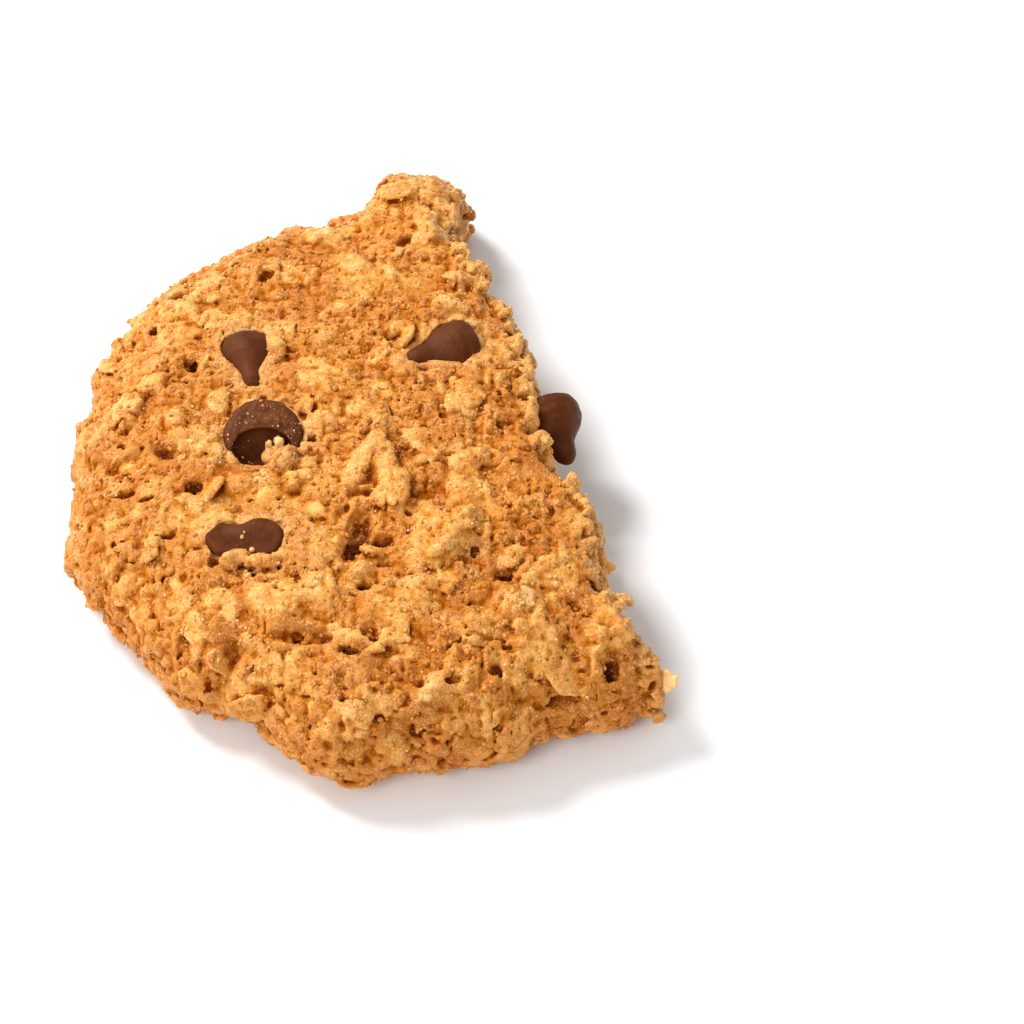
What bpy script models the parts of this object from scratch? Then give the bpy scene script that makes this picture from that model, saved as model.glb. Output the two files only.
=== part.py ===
"""The larger piece of a broken oat cookie with chocolate chips, lying flat on its underside.

The cookie was a round one. Its shape is worked out in millimetres about the middle of that round, with
Z up from the underside, and then moved so that the origin is under the middle of the piece's box.
"""

import itertools
import math

import bmesh
import bpy
import numpy as np
from mathutils import Matrix, Vector

MM = 0.001

# The whole round cookie.
COOKIE_RADIUS = 34.2
COOKIE_HEIGHT = 12.5
WIDEST_AT = 4.0  # height of the rim's widest line
CROWN_POWER = 4.5  # a higher power makes a flatter crown with a tighter shoulder
UNDERSIDE_POWER = 14.0
ROUND_MIDDLE = (5.77, -1.93)  # where the middle of the round lies in the part's own frame

# Bulges (+) and dents (-) of the outline: direction in degrees, half its spread in degrees, size.
OUTLINE_BULGES = (
    (91.5, 8.6, 4.5),
    (107.0, 5.0, -0.5),
    (120.0, 7.0, 0.5),
    (130.0, 3.0, -0.3),
    (142.0, 8.0, 1.1),
    (158.0, 6.0, 0.5),
    (168.0, 4.0, -0.7),
    (199.0, 7.0, 0.4),
    (218.0, 9.0, -0.6),
    (241.0, 7.5, -1.8),
    (259.0, 6.8, 1.8),
    (292.0, 6.0, -1.6),
    (306.0, 5.0, 0.6),
)

# The break is a nearly straight, upright face across the round.
BREAK_DISTANCE = 12.8  # from the middle of the round, at the underside
BREAK_DIRECTION = math.radians(17.9)  # of the face's outward normal
BREAK_LEAN = 0.10  # the face comes in by this much for each millimetre up
BREAK_BAND = (0.6, 2.2)  # the crumb's relief passes into the crust's between these depths behind the face
# Bulges (+) and dents (-) of the break: place along it, half its spread, size.
BREAK_BULGES = (
    (34.0, 5.0, 2.3),
    (22.5, 5.0, -1.0),
    (9.0, 6.0, 0.9),
    (-5.0, 5.0, -0.8),
    (-13.0, 3.5, 0.6),
    (-22.0, 3.5, -0.9),
    (-29.0, 4.0, 1.3),
)

# Oat flakes that stand out of the crust: x, y, length, width, direction of the length in degrees, lift.
# Each has a flat top and steep sides, between these shares of its half length.
FLAKE_SIDES = (0.45, 1.15)
SHOWN_FLAKES = (
    (-28.6, 3.6, 4.2, 3.6, 60, 0.7),
    (-26.3, 6.4, 4.0, 2.6, 10, 0.5),
    (-19.6, 3.0, 3.6, 2.6, 100, 0.5),
    (1.6, -14.6, 8.4, 6.0, 35, 0.9),
    (3.2, -14.0, 6.8, 2.4, 52, 0.8),
    (10.6, -25.0, 6.8, 5.0, 60, 0.8),
    (19.4, -22.0, 4.0, 3.4, 80, 0.6),
    (1.5, -29.6, 4.0, 3.0, 45, 0.5),
    (-9.0, -20.0, 5.6, 4.2, 100, 0.9),
    (-13.2, -20.8, 6.8, 5.0, 160, 0.8),
    (-5.0, -31.6, 4.0, 3.0, 70, 0.5),
    (-10.4, 27.0, 5.2, 3.6, 150, 0.6),
    (-7.2, 21.6, 5.8, 3.4, 140, 0.6),
    (-1.2, 33.2, 7.6, 4.6, 30, 0.8),
    (2.4, 30.4, 5.2, 3.0, 130, 0.6),
    (-5.6, -5.2, 9.0, 2.8, 62, 1.0),
    (-3.0, -7.0, 10.0, 2.6, 98, 1.0),
    (-1.8, -8.4, 4.6, 2.0, 90, 0.7),
)
# Hollows of the crust: x, y, length, width, direction of the length in degrees, depth.
SHOWN_HOLLOWS = (
    (-5.6, -13.2, 5.6, 2.6, 80, 1.8),
    (-3.4, -14.2, 2.6, 1.6, 10, 1.0),
    (-9.8, -24.6, 8.6, 1.8, 172, 1.1),
    (-21.4, -7.4, 2.6, 1.8, 20, 1.3),
    (-24.2, 18.2, 3.0, 1.8, 60, 1.0),
    (-22.4, 8.6, 2.8, 1.6, 120, 1.0),
    (-24.3, -2.6, 3.0, 2.2, 150, 0.8),
    (-28.6, -3.6, 3.4, 1.8, 20, 0.8),
    (17.6, -25.6, 2.8, 1.8, 60, 1.4),
    (8.0, -17.7, 2.6, 1.8, 30, 0.9),
    (-5.3, -19.4, 2.2, 1.8, 40, 0.9),
    (-6.2, -26.2, 2.6, 1.8, 0, 0.8),
    (-15.2, 20.6, 3.0, 2.2, 30, 0.8),
)

# Flakes and hollows drawn at random over each face: how many, range of lengths, range of width over
# length, range of lift (+) or depth (-).
CROWN_DRAWN = ((84, (3.0, 7.5), (0.5, 0.8), (0.25, 0.65)), (46, (1.6, 3.4), (0.6, 0.9), (-1.1, -0.4)))
RIM_DRAWN = ((70, (3.0, 6.5), (0.5, 0.8), (0.25, 0.75)), (26, (1.6, 3.2), (0.6, 0.9), (-0.8, -0.3)))
BREAK_DRAWN = ((44, (2.0, 4.4), (0.5, 0.9), (-2.2, -0.9)), (30, (3.0, 6.5), (0.25, 0.4), (0.5, 1.1)))
RANDOM_SEED = 7
# Lumps: size across, height.
CRUST_LUMPS = ((13.0, 0.5), (6.0, 0.4), (3.2, 0.35))
CRUMB_LUMPS = ((7.0, 0.6), (3.4, 0.7))
RIM_FROM, CROWN_FROM = 5.5, 8.5  # the rim's marks pass into the crown's between these heights

# Each chip is a chocolate drop: middle of its flat base, direction and rise in degrees of the way to
# its tip, radius of the base, length from base to tip. The heights are over the smooth crown.
CHIPS = {
    "chip_1": ((-17.3, 11.3, -2.3), 278.0, 18.0, 2.9, 6.8),
    "chip_2": ((-15.1, -1.7, 0.8), 90.0, -77.0, 3.75, 5.4),
    "chip_3": ((-14.9, -13.9, 0.35), 80.0, -78.0, 2.25, 3.2),
    "chip_4": ((4.4, 10.8, -1.9), 205.0, 16.0, 3.1, 6.8),
    "chip_5": ((11.7, 5.4, -4.4), 292.0, -8.0, 3.2, 6.6),
}
SECOND_LOBE = ((-18.2, -13.5, 0.3), 200.0, -76.0, 2.15, 2.9)  # chip_3 is two drops run together
BASE_HOLLOW = ((-15.0, -2.95, -0.25), (2.9, 2.05, 1.5))  # in the base of chip_2: its middle and half sizes
# Outline of a drop from its base to its tip: share of the base's radius, share of the length.
DROP_OUTLINE = (
    (0.0, 0.0),
    (0.80, 0.0),
    (0.95, 0.05),
    (1.0, 0.15),
    (0.96, 0.30),
    (0.82, 0.44),
    (0.60, 0.56),
    (0.43, 0.67),
    (0.36, 0.78),
    (0.30, 0.89),
    (0.17, 0.97),
    (0.0, 1.0),
)
CHIP_SIDES = 16
CHIP_GAP = 0.3
CHIP_CORE = 0.7  # share of a chip's radius within which the crust has no relief
CHIP_CLEAR = 2.0  # the crust's relief dies away over this distance outside that

PROFILE_STEPS, ROUND_SIDES = 40, 240
VOXEL = 0.7
FLAT_WITHIN = 0.15  # what lies this near the underside's plane is moved onto it
FULL_RELIEF = 1.6  # height from which the rim has its full relief
MOST_TRIANGLES = 9700  # before the pockets of the chips are cut


def hashed(cells, seed):
    """A value from -1 to 1 for each whole-numbered cell."""
    mix = cells[..., 0] * 374761393 + cells[..., 1] * 668265263 + cells[..., 2] * 1440662683 + seed * 83492791
    mix = (mix ^ (mix >> 13)) & 0xFFFFFFFF
    mix = (mix * 1274126177) & 0xFFFFFFFF
    mix = mix ^ (mix >> 16)
    return (mix & 0xFFFF) / 32767.5 - 1.0


def lumps(points, across, seed):
    """Smooth noise from -1 to 1 at each point, with lumps of this size."""
    cells = points / across
    corner = np.floor(cells).astype(np.int64)
    part = cells - corner
    part = part * part * (3.0 - 2.0 * part)
    total = np.zeros(len(points))
    for step in itertools.product((0, 1), repeat=3):
        weight = np.prod(np.where(np.array(step) == 1, part, 1.0 - part), axis=1)
        total += weight * hashed(corner + np.array(step), seed)
    return total


def ramp(value, low, high):
    """0 below low, 1 above high, and a smooth rise between them."""
    part = np.clip((value - low) / (high - low), 0.0, 1.0)
    return part * part * (3.0 - 2.0 * part)


def outline_radius(degrees):
    radius = np.full(np.shape(degrees), COOKIE_RADIUS)
    for direction, spread, size in OUTLINE_BULGES:
        away = (degrees - direction + 180.0) % 360.0 - 180.0
        radius = radius + size * np.exp(-((away / spread) ** 4))
    return radius


def crown_height(x, y):
    """Height of the smooth crown over a point of the round."""
    out = np.hypot(x, y) / outline_radius(np.degrees(np.arctan2(y, x)))
    return WIDEST_AT + (COOKIE_HEIGHT - WIDEST_AT) * np.sqrt(1.0 - np.clip(out, 0.0, 1.0) ** CROWN_POWER)


def break_distance(along):
    distance = np.full(np.shape(along), BREAK_DISTANCE)
    for place, spread, size in BREAK_BULGES:
        distance = distance + size * np.exp(-(((along - place) / spread) ** 2))
    return distance


def break_frame(x, y):
    """Distances of points from the middle of the round: out through the break, and along it."""
    cos, sin = math.cos(BREAK_DIRECTION), math.sin(BREAK_DIRECTION)
    return x * cos + y * sin, y * cos - x * sin


def patch(x, y, mark):
    """1 in the middle of a flake or a hollow, with a flat top and steep sides, and 0 outside it."""
    turn = math.radians(mark[4])
    along = (x - mark[0]) * math.cos(turn) + (y - mark[1]) * math.sin(turn)
    across = (y - mark[1]) * math.cos(turn) - (x - mark[0]) * math.sin(turn)
    reach = np.hypot(along / (mark[2] / 2.0), across / (mark[3] / 2.0))
    return 1.0 - ramp(reach, *FLAKE_SIDES)


def drawn_marks(kinds, low, high, seed):
    """Marks at random places between two corners of a face, each like one of the shown ones."""
    rng = np.random.default_rng(seed)
    marks = []
    for count, lengths, slimness, heights in kinds:
        for _ in range(count):
            x, y = rng.uniform(low, high)
            length = rng.uniform(*lengths)
            width = length * rng.uniform(*slimness)
            marks.append((x, y, length, width, rng.uniform(0.0, 180.0), rng.uniform(*heights)))
    return marks


def marks_relief(x, y, marks):
    return sum(mark[5] * patch(x, y, mark) for mark in marks)


def lumps_relief(x, y, z, kinds, seed):
    points = np.stack([x, y, z], axis=1)
    return sum(height * lumps(points, across, seed + number) for number, (across, height) in enumerate(kinds))


def crust_relief(x, y, z):
    """How far the crust stands out of the smooth form at each point."""
    half = (COOKIE_RADIUS, COOKIE_RADIUS)
    hollows = [(*mark[:5], -mark[5]) for mark in SHOWN_HOLLOWS]
    crown_marks = [*SHOWN_FLAKES, *hollows, *drawn_marks(CROWN_DRAWN, np.negative(half), half, RANDOM_SEED)]
    half_turn = math.pi * COOKIE_RADIUS
    rim_marks = drawn_marks(RIM_DRAWN, (-half_turn, 1.0), (half_turn, CROWN_FROM), RANDOM_SEED + 1)
    on_crown = ramp(z, RIM_FROM, CROWN_FROM)
    around = np.arctan2(y, x) * COOKIE_RADIUS
    marks = on_crown * marks_relief(x, y, crown_marks) + (1.0 - on_crown) * marks_relief(around, z, rim_marks)
    return marks + lumps_relief(x, y, z, CRUST_LUMPS, RANDOM_SEED)


def crumb_relief(x, y, z):
    """How far the broken crumb stands out of the smooth break at each point."""
    marks = drawn_marks(BREAK_DRAWN, (-COOKIE_RADIUS, 1.0), (COOKIE_RADIUS, COOKIE_HEIGHT), RANDOM_SEED + 2)
    along = break_frame(x, y)[1]
    return marks_relief(along, z, marks) + lumps_relief(x, y, z, CRUMB_LUMPS, RANDOM_SEED + 20)


def material(name, colour, roughness):
    made = bpy.data.materials.new(name)
    made.use_nodes = True
    shader = made.node_tree.nodes["Principled BSDF"]
    shader.inputs["Base Color"].default_value = (*colour, 1.0)
    shader.inputs["Roughness"].default_value = roughness
    shader.inputs["Metallic"].default_value = 0.0
    return made


def new_object(name, mesh):
    """An object whose mesh is in millimetres about the middle of the round."""
    made = bpy.data.objects.new(name, mesh)
    made.scale = (MM, MM, MM)
    made.location = (ROUND_MIDDLE[0] * MM, ROUND_MIDDLE[1] * MM, 0.0)
    bpy.context.scene.collection.objects.link(made)
    return made


def as_helper(helper):
    helper.hide_render = True
    helper.display_type = "WIRE"
    return helper


def bake_modifiers(target):
    """Gives an object the mesh that its modifiers make."""
    graph = bpy.context.evaluated_depsgraph_get()
    baked = bpy.data.meshes.new_from_object(target.evaluated_get(graph))
    target.modifiers.clear()
    target.data = baked


def turned_rings(rings, sides, place):
    """A closed mesh through rings, each (radius, height), from a pole to a pole; place maps its points."""
    made = bmesh.new()
    poles = [made.verts.new(place(0.0, 0.0, height)) for height in (rings[0][1], rings[-1][1])]
    loops = []
    for radius, height in rings[1:-1]:
        turns = [2.0 * math.pi * side / sides for side in range(sides)]
        loops.append([made.verts.new(place(radius * math.cos(t), radius * math.sin(t), height)) for t in turns])
    for side in range(sides):
        after = (side + 1) % sides
        made.faces.new((poles[0], loops[0][side], loops[0][after]))
        made.faces.new((poles[1], loops[-1][after], loops[-1][side]))
        for upper, lower in itertools.pairwise(loops):
            made.faces.new((upper[side], lower[side], lower[after], upper[after]))
    bmesh.ops.recalc_face_normals(made, faces=made.faces)
    mesh = bpy.data.meshes.new("turned")
    made.to_mesh(mesh)
    made.free()
    return mesh


def round_cookie():
    """The smooth whole cookie: a superellipse turned about the middle, with the bulges of the outline."""
    rings = []
    for step in range(2 * PROFILE_STEPS + 1):
        from_pole = min(step, 2 * PROFILE_STEPS - step) / PROFILE_STEPS
        turn = 0.5 * math.pi * from_pole ** (CROWN_POWER / 2.0)
        if step <= PROFILE_STEPS:
            out = math.sin(turn) ** (2.0 / CROWN_POWER)
            height = WIDEST_AT + (COOKIE_HEIGHT - WIDEST_AT) * math.cos(turn)
        else:
            out = math.sin(turn) ** (2.0 / UNDERSIDE_POWER)
            height = WIDEST_AT * (1.0 - math.cos(turn))
        rings.append((out, height))

    def place(x, y, height):
        radius = float(outline_radius(math.degrees(math.atan2(y, x))))
        return x * radius, y * radius, height

    return new_object("cookie", turned_rings(rings, ROUND_SIDES, place))


def break_cutter():
    """Takes away all that lies beyond the wavy break."""
    length, spread, below, above = 45.0, 60.0, -5.0, 25.0
    places = np.linspace(-length, length, 91)
    distances = break_distance(places) - BREAK_LEAN * below
    edge = [(float(distance), float(along)) for distance, along in zip(distances, places)]
    edge += [(spread, length), (spread, -length)]
    cos, sin = math.cos(BREAK_DIRECTION), math.sin(BREAK_DIRECTION)
    made = bmesh.new()
    corners = []
    for out, along in edge:
        corners.append(made.verts.new((out * cos - along * sin, out * sin + along * cos, below)))
    face = made.faces.new(corners)
    raised = bmesh.ops.extrude_face_region(made, geom=[face])["geom"]
    lean = -BREAK_LEAN * (above - below)
    tops = [item for item in raised if isinstance(item, bmesh.types.BMVert)]
    bmesh.ops.translate(made, verts=tops, vec=(lean * cos, lean * sin, above - below))
    bmesh.ops.recalc_face_normals(made, faces=made.faces)
    mesh = bpy.data.meshes.new("break_cutter")
    made.to_mesh(mesh)
    made.free()
    return as_helper(new_object("break_cutter", mesh))


def cut(target, cutter):
    modifier = target.modifiers.new("cut", "BOOLEAN")
    modifier.operation = "DIFFERENCE"
    modifier.solver = "EXACT"
    modifier.object = cutter
    bake_modifiers(target)


def even_out(target):
    modifier = target.modifiers.new("even", "REMESH")
    modifier.mode = "VOXEL"
    modifier.voxel_size = VOXEL
    bake_modifiers(target)


def raise_relief(target):
    """Moves each point of the evened surface in or out, and makes the underside flat."""
    mesh = target.data
    count = len(mesh.vertices)
    points, normals = np.empty(count * 3), np.empty(count * 3)
    mesh.vertices.foreach_get("co", points)
    mesh.vertices.foreach_get("normal", normals)
    points, normals = points.reshape(-1, 3), normals.reshape(-1, 3)
    x, y, z = points.T
    out, along = break_frame(x, y)
    face = break_distance(along) - BREAK_LEAN * z
    near_break = 1.0 - ramp(face - out, *BREAK_BAND)
    relief = near_break * crumb_relief(x, y, z) + (1.0 - near_break) * crust_relief(x, y, z)
    for (chip_x, chip_y, _), heading, rise, radius, length in CHIPS.values():
        reach = 0.5 * length * math.cos(math.radians(rise))
        middle_x = chip_x + reach * math.cos(math.radians(heading))
        middle_y = chip_y + reach * math.sin(math.radians(heading))
        away = np.hypot(x - middle_x, y - middle_y)
        relief = relief * ramp(away, CHIP_CORE * radius, CHIP_CORE * radius + CHIP_CLEAR)
    relief = relief * ramp(z, FLAT_WITHIN, FULL_RELIEF)
    points += normals * relief[:, None]
    points[:, 2] = np.where(z < FLAT_WITHIN, 0.0, np.maximum(points[:, 2], 0.0))
    mesh.vertices.foreach_set("co", points.ravel())
    mesh.update()


def thin_out(target):
    target.data.calc_loop_triangles()
    modifier = target.modifiers.new("thin", "DECIMATE")
    modifier.ratio = MOST_TRIANGLES / len(target.data.loop_triangles)
    modifier.use_collapse_triangulate = True
    bake_modifiers(target)
    for point in target.data.vertices:
        if point.co.z < FLAT_WITHIN:
            point.co.z = 0.0


def keep_largest(target):
    """Drops any scrap that a cut left loose."""
    made = bmesh.new()
    made.from_mesh(target.data)
    left, islands = set(made.verts), []
    while left:
        island, edge = set(), [left.pop()]
        while edge:
            point = edge.pop()
            island.add(point)
            fresh = {link.other_vert(point) for link in point.link_edges} & left
            left -= fresh
            edge.extend(fresh)
        islands.append(island)
    islands.sort(key=len)
    for island in islands[:-1]:
        bmesh.ops.delete(made, geom=list(island), context="VERTS")
    made.to_mesh(target.data)
    made.free()


def drop_mesh(base, heading, rise, radius, length, grow=0.0):
    """A turned chocolate drop, with a flat round base and a drawn-out tip."""
    rings = []
    for out, up in DROP_OUTLINE:
        wider = grow if out else 0.0
        rings.append((out * radius + wider, up * (length + 2.0 * grow) - grow))
    way = Vector((math.cos(heading) * math.cos(rise), math.sin(heading) * math.cos(rise), math.sin(rise)))
    turn = Vector((0.0, 0.0, 1.0)).rotation_difference(way).to_matrix().to_4x4()
    placed = Matrix.Translation(base) @ turn

    def place(x, y, height):
        return placed @ Vector((x, y, height))

    return turned_rings(rings, CHIP_SIDES, place)


def drop(name, numbers, grow=0.0):
    (x, y, over), heading, rise, radius, length = numbers
    base = (x, y, float(crown_height(x, y)) + over)
    return new_object(name, drop_mesh(base, math.radians(heading), math.radians(rise), radius, length, grow))


def join(target, other):
    modifier = target.modifiers.new("join", "BOOLEAN")
    modifier.operation = "UNION"
    modifier.solver = "EXACT"
    modifier.object = other
    bake_modifiers(target)
    bpy.data.objects.remove(other)


def base_hollow_cutter():
    (x, y, over), half_sizes = BASE_HOLLOW
    made = bmesh.new()
    bmesh.ops.create_icosphere(made, subdivisions=3, radius=1.0)
    middle = Vector((x, y, float(crown_height(x, y)) + over))
    for point in made.verts:
        point.co = Vector([middle[axis] + point.co[axis] * half_sizes[axis] for axis in range(3)])
    mesh = bpy.data.meshes.new("base_hollow_cutter")
    made.to_mesh(mesh)
    made.free()
    return as_helper(new_object("base_hollow_cutter", mesh))


def chips(chocolate):
    for name, numbers in CHIPS.items():
        chip = drop(name, numbers)
        if name == "chip_2":
            cut(chip, base_hollow_cutter())
        if name == "chip_3":
            join(chip, drop("second_lobe", SECOND_LOBE))
        chip.data.materials.clear()
        chip.data.materials.append(chocolate)
        chip.data.shade_smooth()


def chip_pockets(target):
    for name, numbers in CHIPS.items():
        pocket = as_helper(drop(name + "_pocket", numbers, CHIP_GAP))
        if name == "chip_3":
            join(pocket, drop("second_pocket", SECOND_LOBE, CHIP_GAP))
        cut(target, pocket)
    keep_largest(target)


def cookie(crust):
    made = round_cookie()
    cut(made, break_cutter())
    even_out(made)
    raise_relief(made)
    thin_out(made)
    chip_pockets(made)
    made.data.materials.clear()
    made.data.materials.append(crust)


for old in list(bpy.data.objects):
    bpy.data.objects.remove(old)

cookie(material("baked_dough", (0.665, 0.270, 0.058), 0.75))
chips(material("chocolate", (0.181, 0.055, 0.020), 0.42))
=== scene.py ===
"""The looks of the larger piece of a broken oat cookie with chocolate chips.

The crust and the crumb are one field of distances on a grid, in millimetres about the middle of the
round cookie, as the solids are. Lumps, flakes, pebbles and pores are stamped into it, and its zero
surface is the mesh. The chips, the loose grains, the sugar and the bare oat flakes are pieces of their own.
"""

import itertools
import math

import bpy
import numpy as np
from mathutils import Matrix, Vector


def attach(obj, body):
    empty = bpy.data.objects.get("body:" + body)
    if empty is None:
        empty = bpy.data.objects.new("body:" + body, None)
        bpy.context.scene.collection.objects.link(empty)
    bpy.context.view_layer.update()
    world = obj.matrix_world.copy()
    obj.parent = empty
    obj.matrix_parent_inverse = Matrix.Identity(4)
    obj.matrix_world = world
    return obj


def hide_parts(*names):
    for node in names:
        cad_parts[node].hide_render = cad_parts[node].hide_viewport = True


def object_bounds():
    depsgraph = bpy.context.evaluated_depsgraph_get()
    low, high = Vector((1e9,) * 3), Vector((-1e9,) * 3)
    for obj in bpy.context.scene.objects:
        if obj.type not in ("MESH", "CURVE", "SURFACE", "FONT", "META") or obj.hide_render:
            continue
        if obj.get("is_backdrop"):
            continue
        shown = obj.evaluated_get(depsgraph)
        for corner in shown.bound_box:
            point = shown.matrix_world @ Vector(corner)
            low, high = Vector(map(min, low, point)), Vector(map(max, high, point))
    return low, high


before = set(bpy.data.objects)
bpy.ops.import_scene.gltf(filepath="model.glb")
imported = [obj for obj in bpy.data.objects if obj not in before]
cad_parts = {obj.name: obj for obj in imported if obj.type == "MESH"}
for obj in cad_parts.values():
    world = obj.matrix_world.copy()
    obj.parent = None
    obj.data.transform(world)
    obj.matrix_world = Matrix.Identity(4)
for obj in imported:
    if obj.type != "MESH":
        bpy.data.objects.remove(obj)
solid_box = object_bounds()

MM = 0.001

# The whole round cookie, as in the solids.
COOKIE_RADIUS = 34.2
COOKIE_HEIGHT = 12.5
WIDEST_AT = 4.0
CROWN_POWER = 4.5
UNDERSIDE_POWER = 14.0
ROUND_MIDDLE = (5.77, -1.93)

# Bulges (+) and dents (-) of the outline: direction in degrees, half its spread in degrees, size.
OUTLINE_BULGES = (
    (91.5, 8.6, 4.5), (107.0, 5.0, -0.5), (120.0, 7.0, 0.5), (130.0, 3.0, -0.3),
    (142.0, 8.0, 1.1), (158.0, 6.0, 0.5), (168.0, 4.0, -0.7), (199.0, 7.0, 0.4),
    (218.0, 9.0, -0.6), (241.0, 7.5, -1.8), (259.0, 6.8, 1.8), (292.0, 6.0, -1.6),
    (306.0, 5.0, 0.6),
)

# The break: distance from the middle, direction, lean, and its bulges and dents along it.
BREAK_DISTANCE = 12.8
BREAK_DIRECTION = math.radians(17.9)
BREAK_LEAN = 0.10
BREAK_BULGES = (
    (34.0, 5.0, 2.3), (22.5, 5.0, -1.0), (9.0, 6.0, 0.9), (-5.0, 5.0, -0.8),
    (-13.0, 3.5, 0.6), (-22.0, 3.5, -0.9), (-29.0, 4.0, 1.3),
)

# Flakes and hollows of the crust: x, y, length, width, direction of the length in degrees, lift or depth.
SHOWN_FLAKES = (
    (-28.6, 3.6, 4.2, 3.6, 60, 0.7), (-26.3, 6.4, 4.0, 2.6, 10, 0.5), (-19.6, 3.0, 3.6, 2.6, 100, 0.5),
    (1.6, -14.6, 8.4, 6.0, 35, 0.9), (3.2, -14.0, 6.8, 2.4, 52, 0.8), (10.6, -25.0, 6.8, 5.0, 60, 0.8),
    (19.4, -22.0, 4.0, 3.4, 80, 0.6), (1.5, -29.6, 4.0, 3.0, 45, 0.5), (-9.0, -20.0, 5.6, 4.2, 100, 0.9),
    (-13.2, -20.8, 6.8, 5.0, 160, 0.8), (-5.0, -31.6, 4.0, 3.0, 70, 0.5), (-10.4, 27.0, 5.2, 3.6, 150, 0.6),
    (-7.2, 21.6, 5.8, 3.4, 140, 0.6), (-1.2, 33.2, 7.6, 4.6, 30, 0.8), (2.4, 30.4, 5.2, 3.0, 130, 0.6),
    (-5.6, -5.2, 9.0, 2.8, 62, 1.0), (-3.0, -7.0, 10.0, 2.6, 98, 1.0), (-1.8, -8.4, 4.6, 2.0, 90, 0.7),
)
SHOWN_HOLLOWS = (
    (-5.6, -13.2, 5.6, 2.6, 80, 1.8), (-3.4, -14.2, 2.6, 1.6, 10, 1.0), (-9.8, -24.6, 8.6, 1.8, 172, 1.1),
    (-21.4, -7.4, 2.6, 1.8, 20, 1.3), (-24.2, 18.2, 3.0, 1.8, 60, 1.0), (-22.4, 8.6, 2.8, 1.6, 120, 1.0),
    (-24.3, -2.6, 3.0, 2.2, 150, 0.8), (-28.6, -3.6, 3.4, 1.8, 20, 0.8), (17.6, -25.6, 2.8, 1.8, 60, 1.4),
    (8.0, -17.7, 2.6, 1.8, 30, 0.9), (-5.3, -19.4, 2.2, 1.8, 40, 0.9), (-6.2, -26.2, 2.6, 1.8, 0, 0.8),
    (-15.2, 20.6, 3.0, 2.2, 30, 0.8),
)
# Marks drawn at random on each face: how many, lengths, slimness, lifts or depths.
CROWN_DRAWN = ((84, (3.0, 7.5), (0.5, 0.8), (0.25, 0.65)), (46, (1.6, 3.4), (0.6, 0.9), (-1.1, -0.4)))
RIM_DRAWN = ((70, (3.0, 6.5), (0.5, 0.8), (0.25, 0.75)), (26, (1.6, 3.2), (0.6, 0.9), (-0.8, -0.3)))
BREAK_DRAWN = ((44, (2.0, 4.4), (0.5, 0.9), (-2.2, -0.9)), (30, (3.0, 6.5), (0.25, 0.4), (0.5, 1.1)))
RANDOM_SEED = 7
# Broad lumps: size across, height.
CRUST_LUMPS = ((13.0, 0.5), (6.0, 0.4), (3.2, 0.35))
CRUMB_LUMPS = ((7.0, 0.6), (3.4, 0.7))
# Below the first height the relief is the rim's, and above the second it is the crown's.
RIM_FROM, CROWN_FROM = 5.5, 8.5
FLAT_WITHIN = 0.15  # no relief up to this height
# The step of a face's table of marks, and where a mark's flat top and its side end, in half sizes.
TABLE_STEP = 0.25
MARK_CORE, MARK_EDGE = 0.45, 1.15
HASH_FACTORS, HASH_SEED, HASH_MIX = (374761393, 668265263, 1440662683), 83492791, 1274126177

# Finer lumps than the solids hold, with creases between them: size across, height.
FINE_CRUST = ((3.2, 0.28), (1.6, 0.42), (0.9, 0.42), (0.5, 0.26), (0.36, 0.12))
FINE_CRUMB = ((3.0, 0.80), (1.7, 0.85), (0.95, 0.75), (0.55, 0.42))
# Ragged pits of the crust and ragged holes of the break: size across, how rare, depth.
RAGGED_PITS = ((1.7, 0.65, 0.6), (0.95, 0.69, 0.40))
RAGGED_HOLES = ((2.6, 0.30, 1.4), (1.3, 0.25, 1.1), (0.8, 0.30, 0.6))
# Crevices of the crust, where two sets of creases meet: sizes of the two, width, depth.
CREVICES = ((1.9, 1.3, 0.15, 0.9), (1.2, 0.9, 0.17, 0.6))
# Seeds of the noise.
CRUST_SEED, CRUMB_SEED, PITS_SEED, CREVICES_SEED, HOLES_SEED = 40, 50, 60, 64, 70
CHIP_SEED, SUGAR_SEED = 80, 90
# How much of the solids' relief is kept, and how far it sinks in under the fine lumps.
RELIEF_SHARE, SHRINK = 0.88, 0.25
CALM = (-15.2, -8.2, 7.0, 4.6)  # the crust between the chips is smoother: x, y, half sizes

# Shapes stamped at random: how many, where, sizes. Flakes: how far sunk, tilt. Pores: slimness, depth.
DRAWN_FLAKES = (
    (200, {}, (1.8, 3.6), 0.80, 0.15),
    (130, {}, (3.2, 5.2), 0.55, 0.10),
    (55, {"on_crumb": True, "highest": 11.0}, (2.2, 4.6), 0.8, 0.25),
)
RIM_PEBBLES = ((420, {"lowest": 0.6, "highest": 6.0}, (0.35, 0.8)),)
FINE_PEBBLES = ((3600, {}, (0.16, 0.40)), (2800, {"on_crumb": True, "lowest": 0.4}, (0.2, 0.6)))
FINE_PORES = (
    (80, {"on_crumb": True, "lowest": 0.8}, (0.35, 1.0), (0.3, 0.8), 1.4),
    (20, {}, (0.22, 0.45), (0.3, 0.8), 1.6),
    (360, {}, (0.12, 0.26), (0.3, 0.7), 2.0),
)
# How many loose grains, sugar crystals, bare oats, and tiny crumbs on the base of chip_2.
GRAINS, CRYSTALS, BARE_OATS, DUST = 6000, 700, 24, 80

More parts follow.
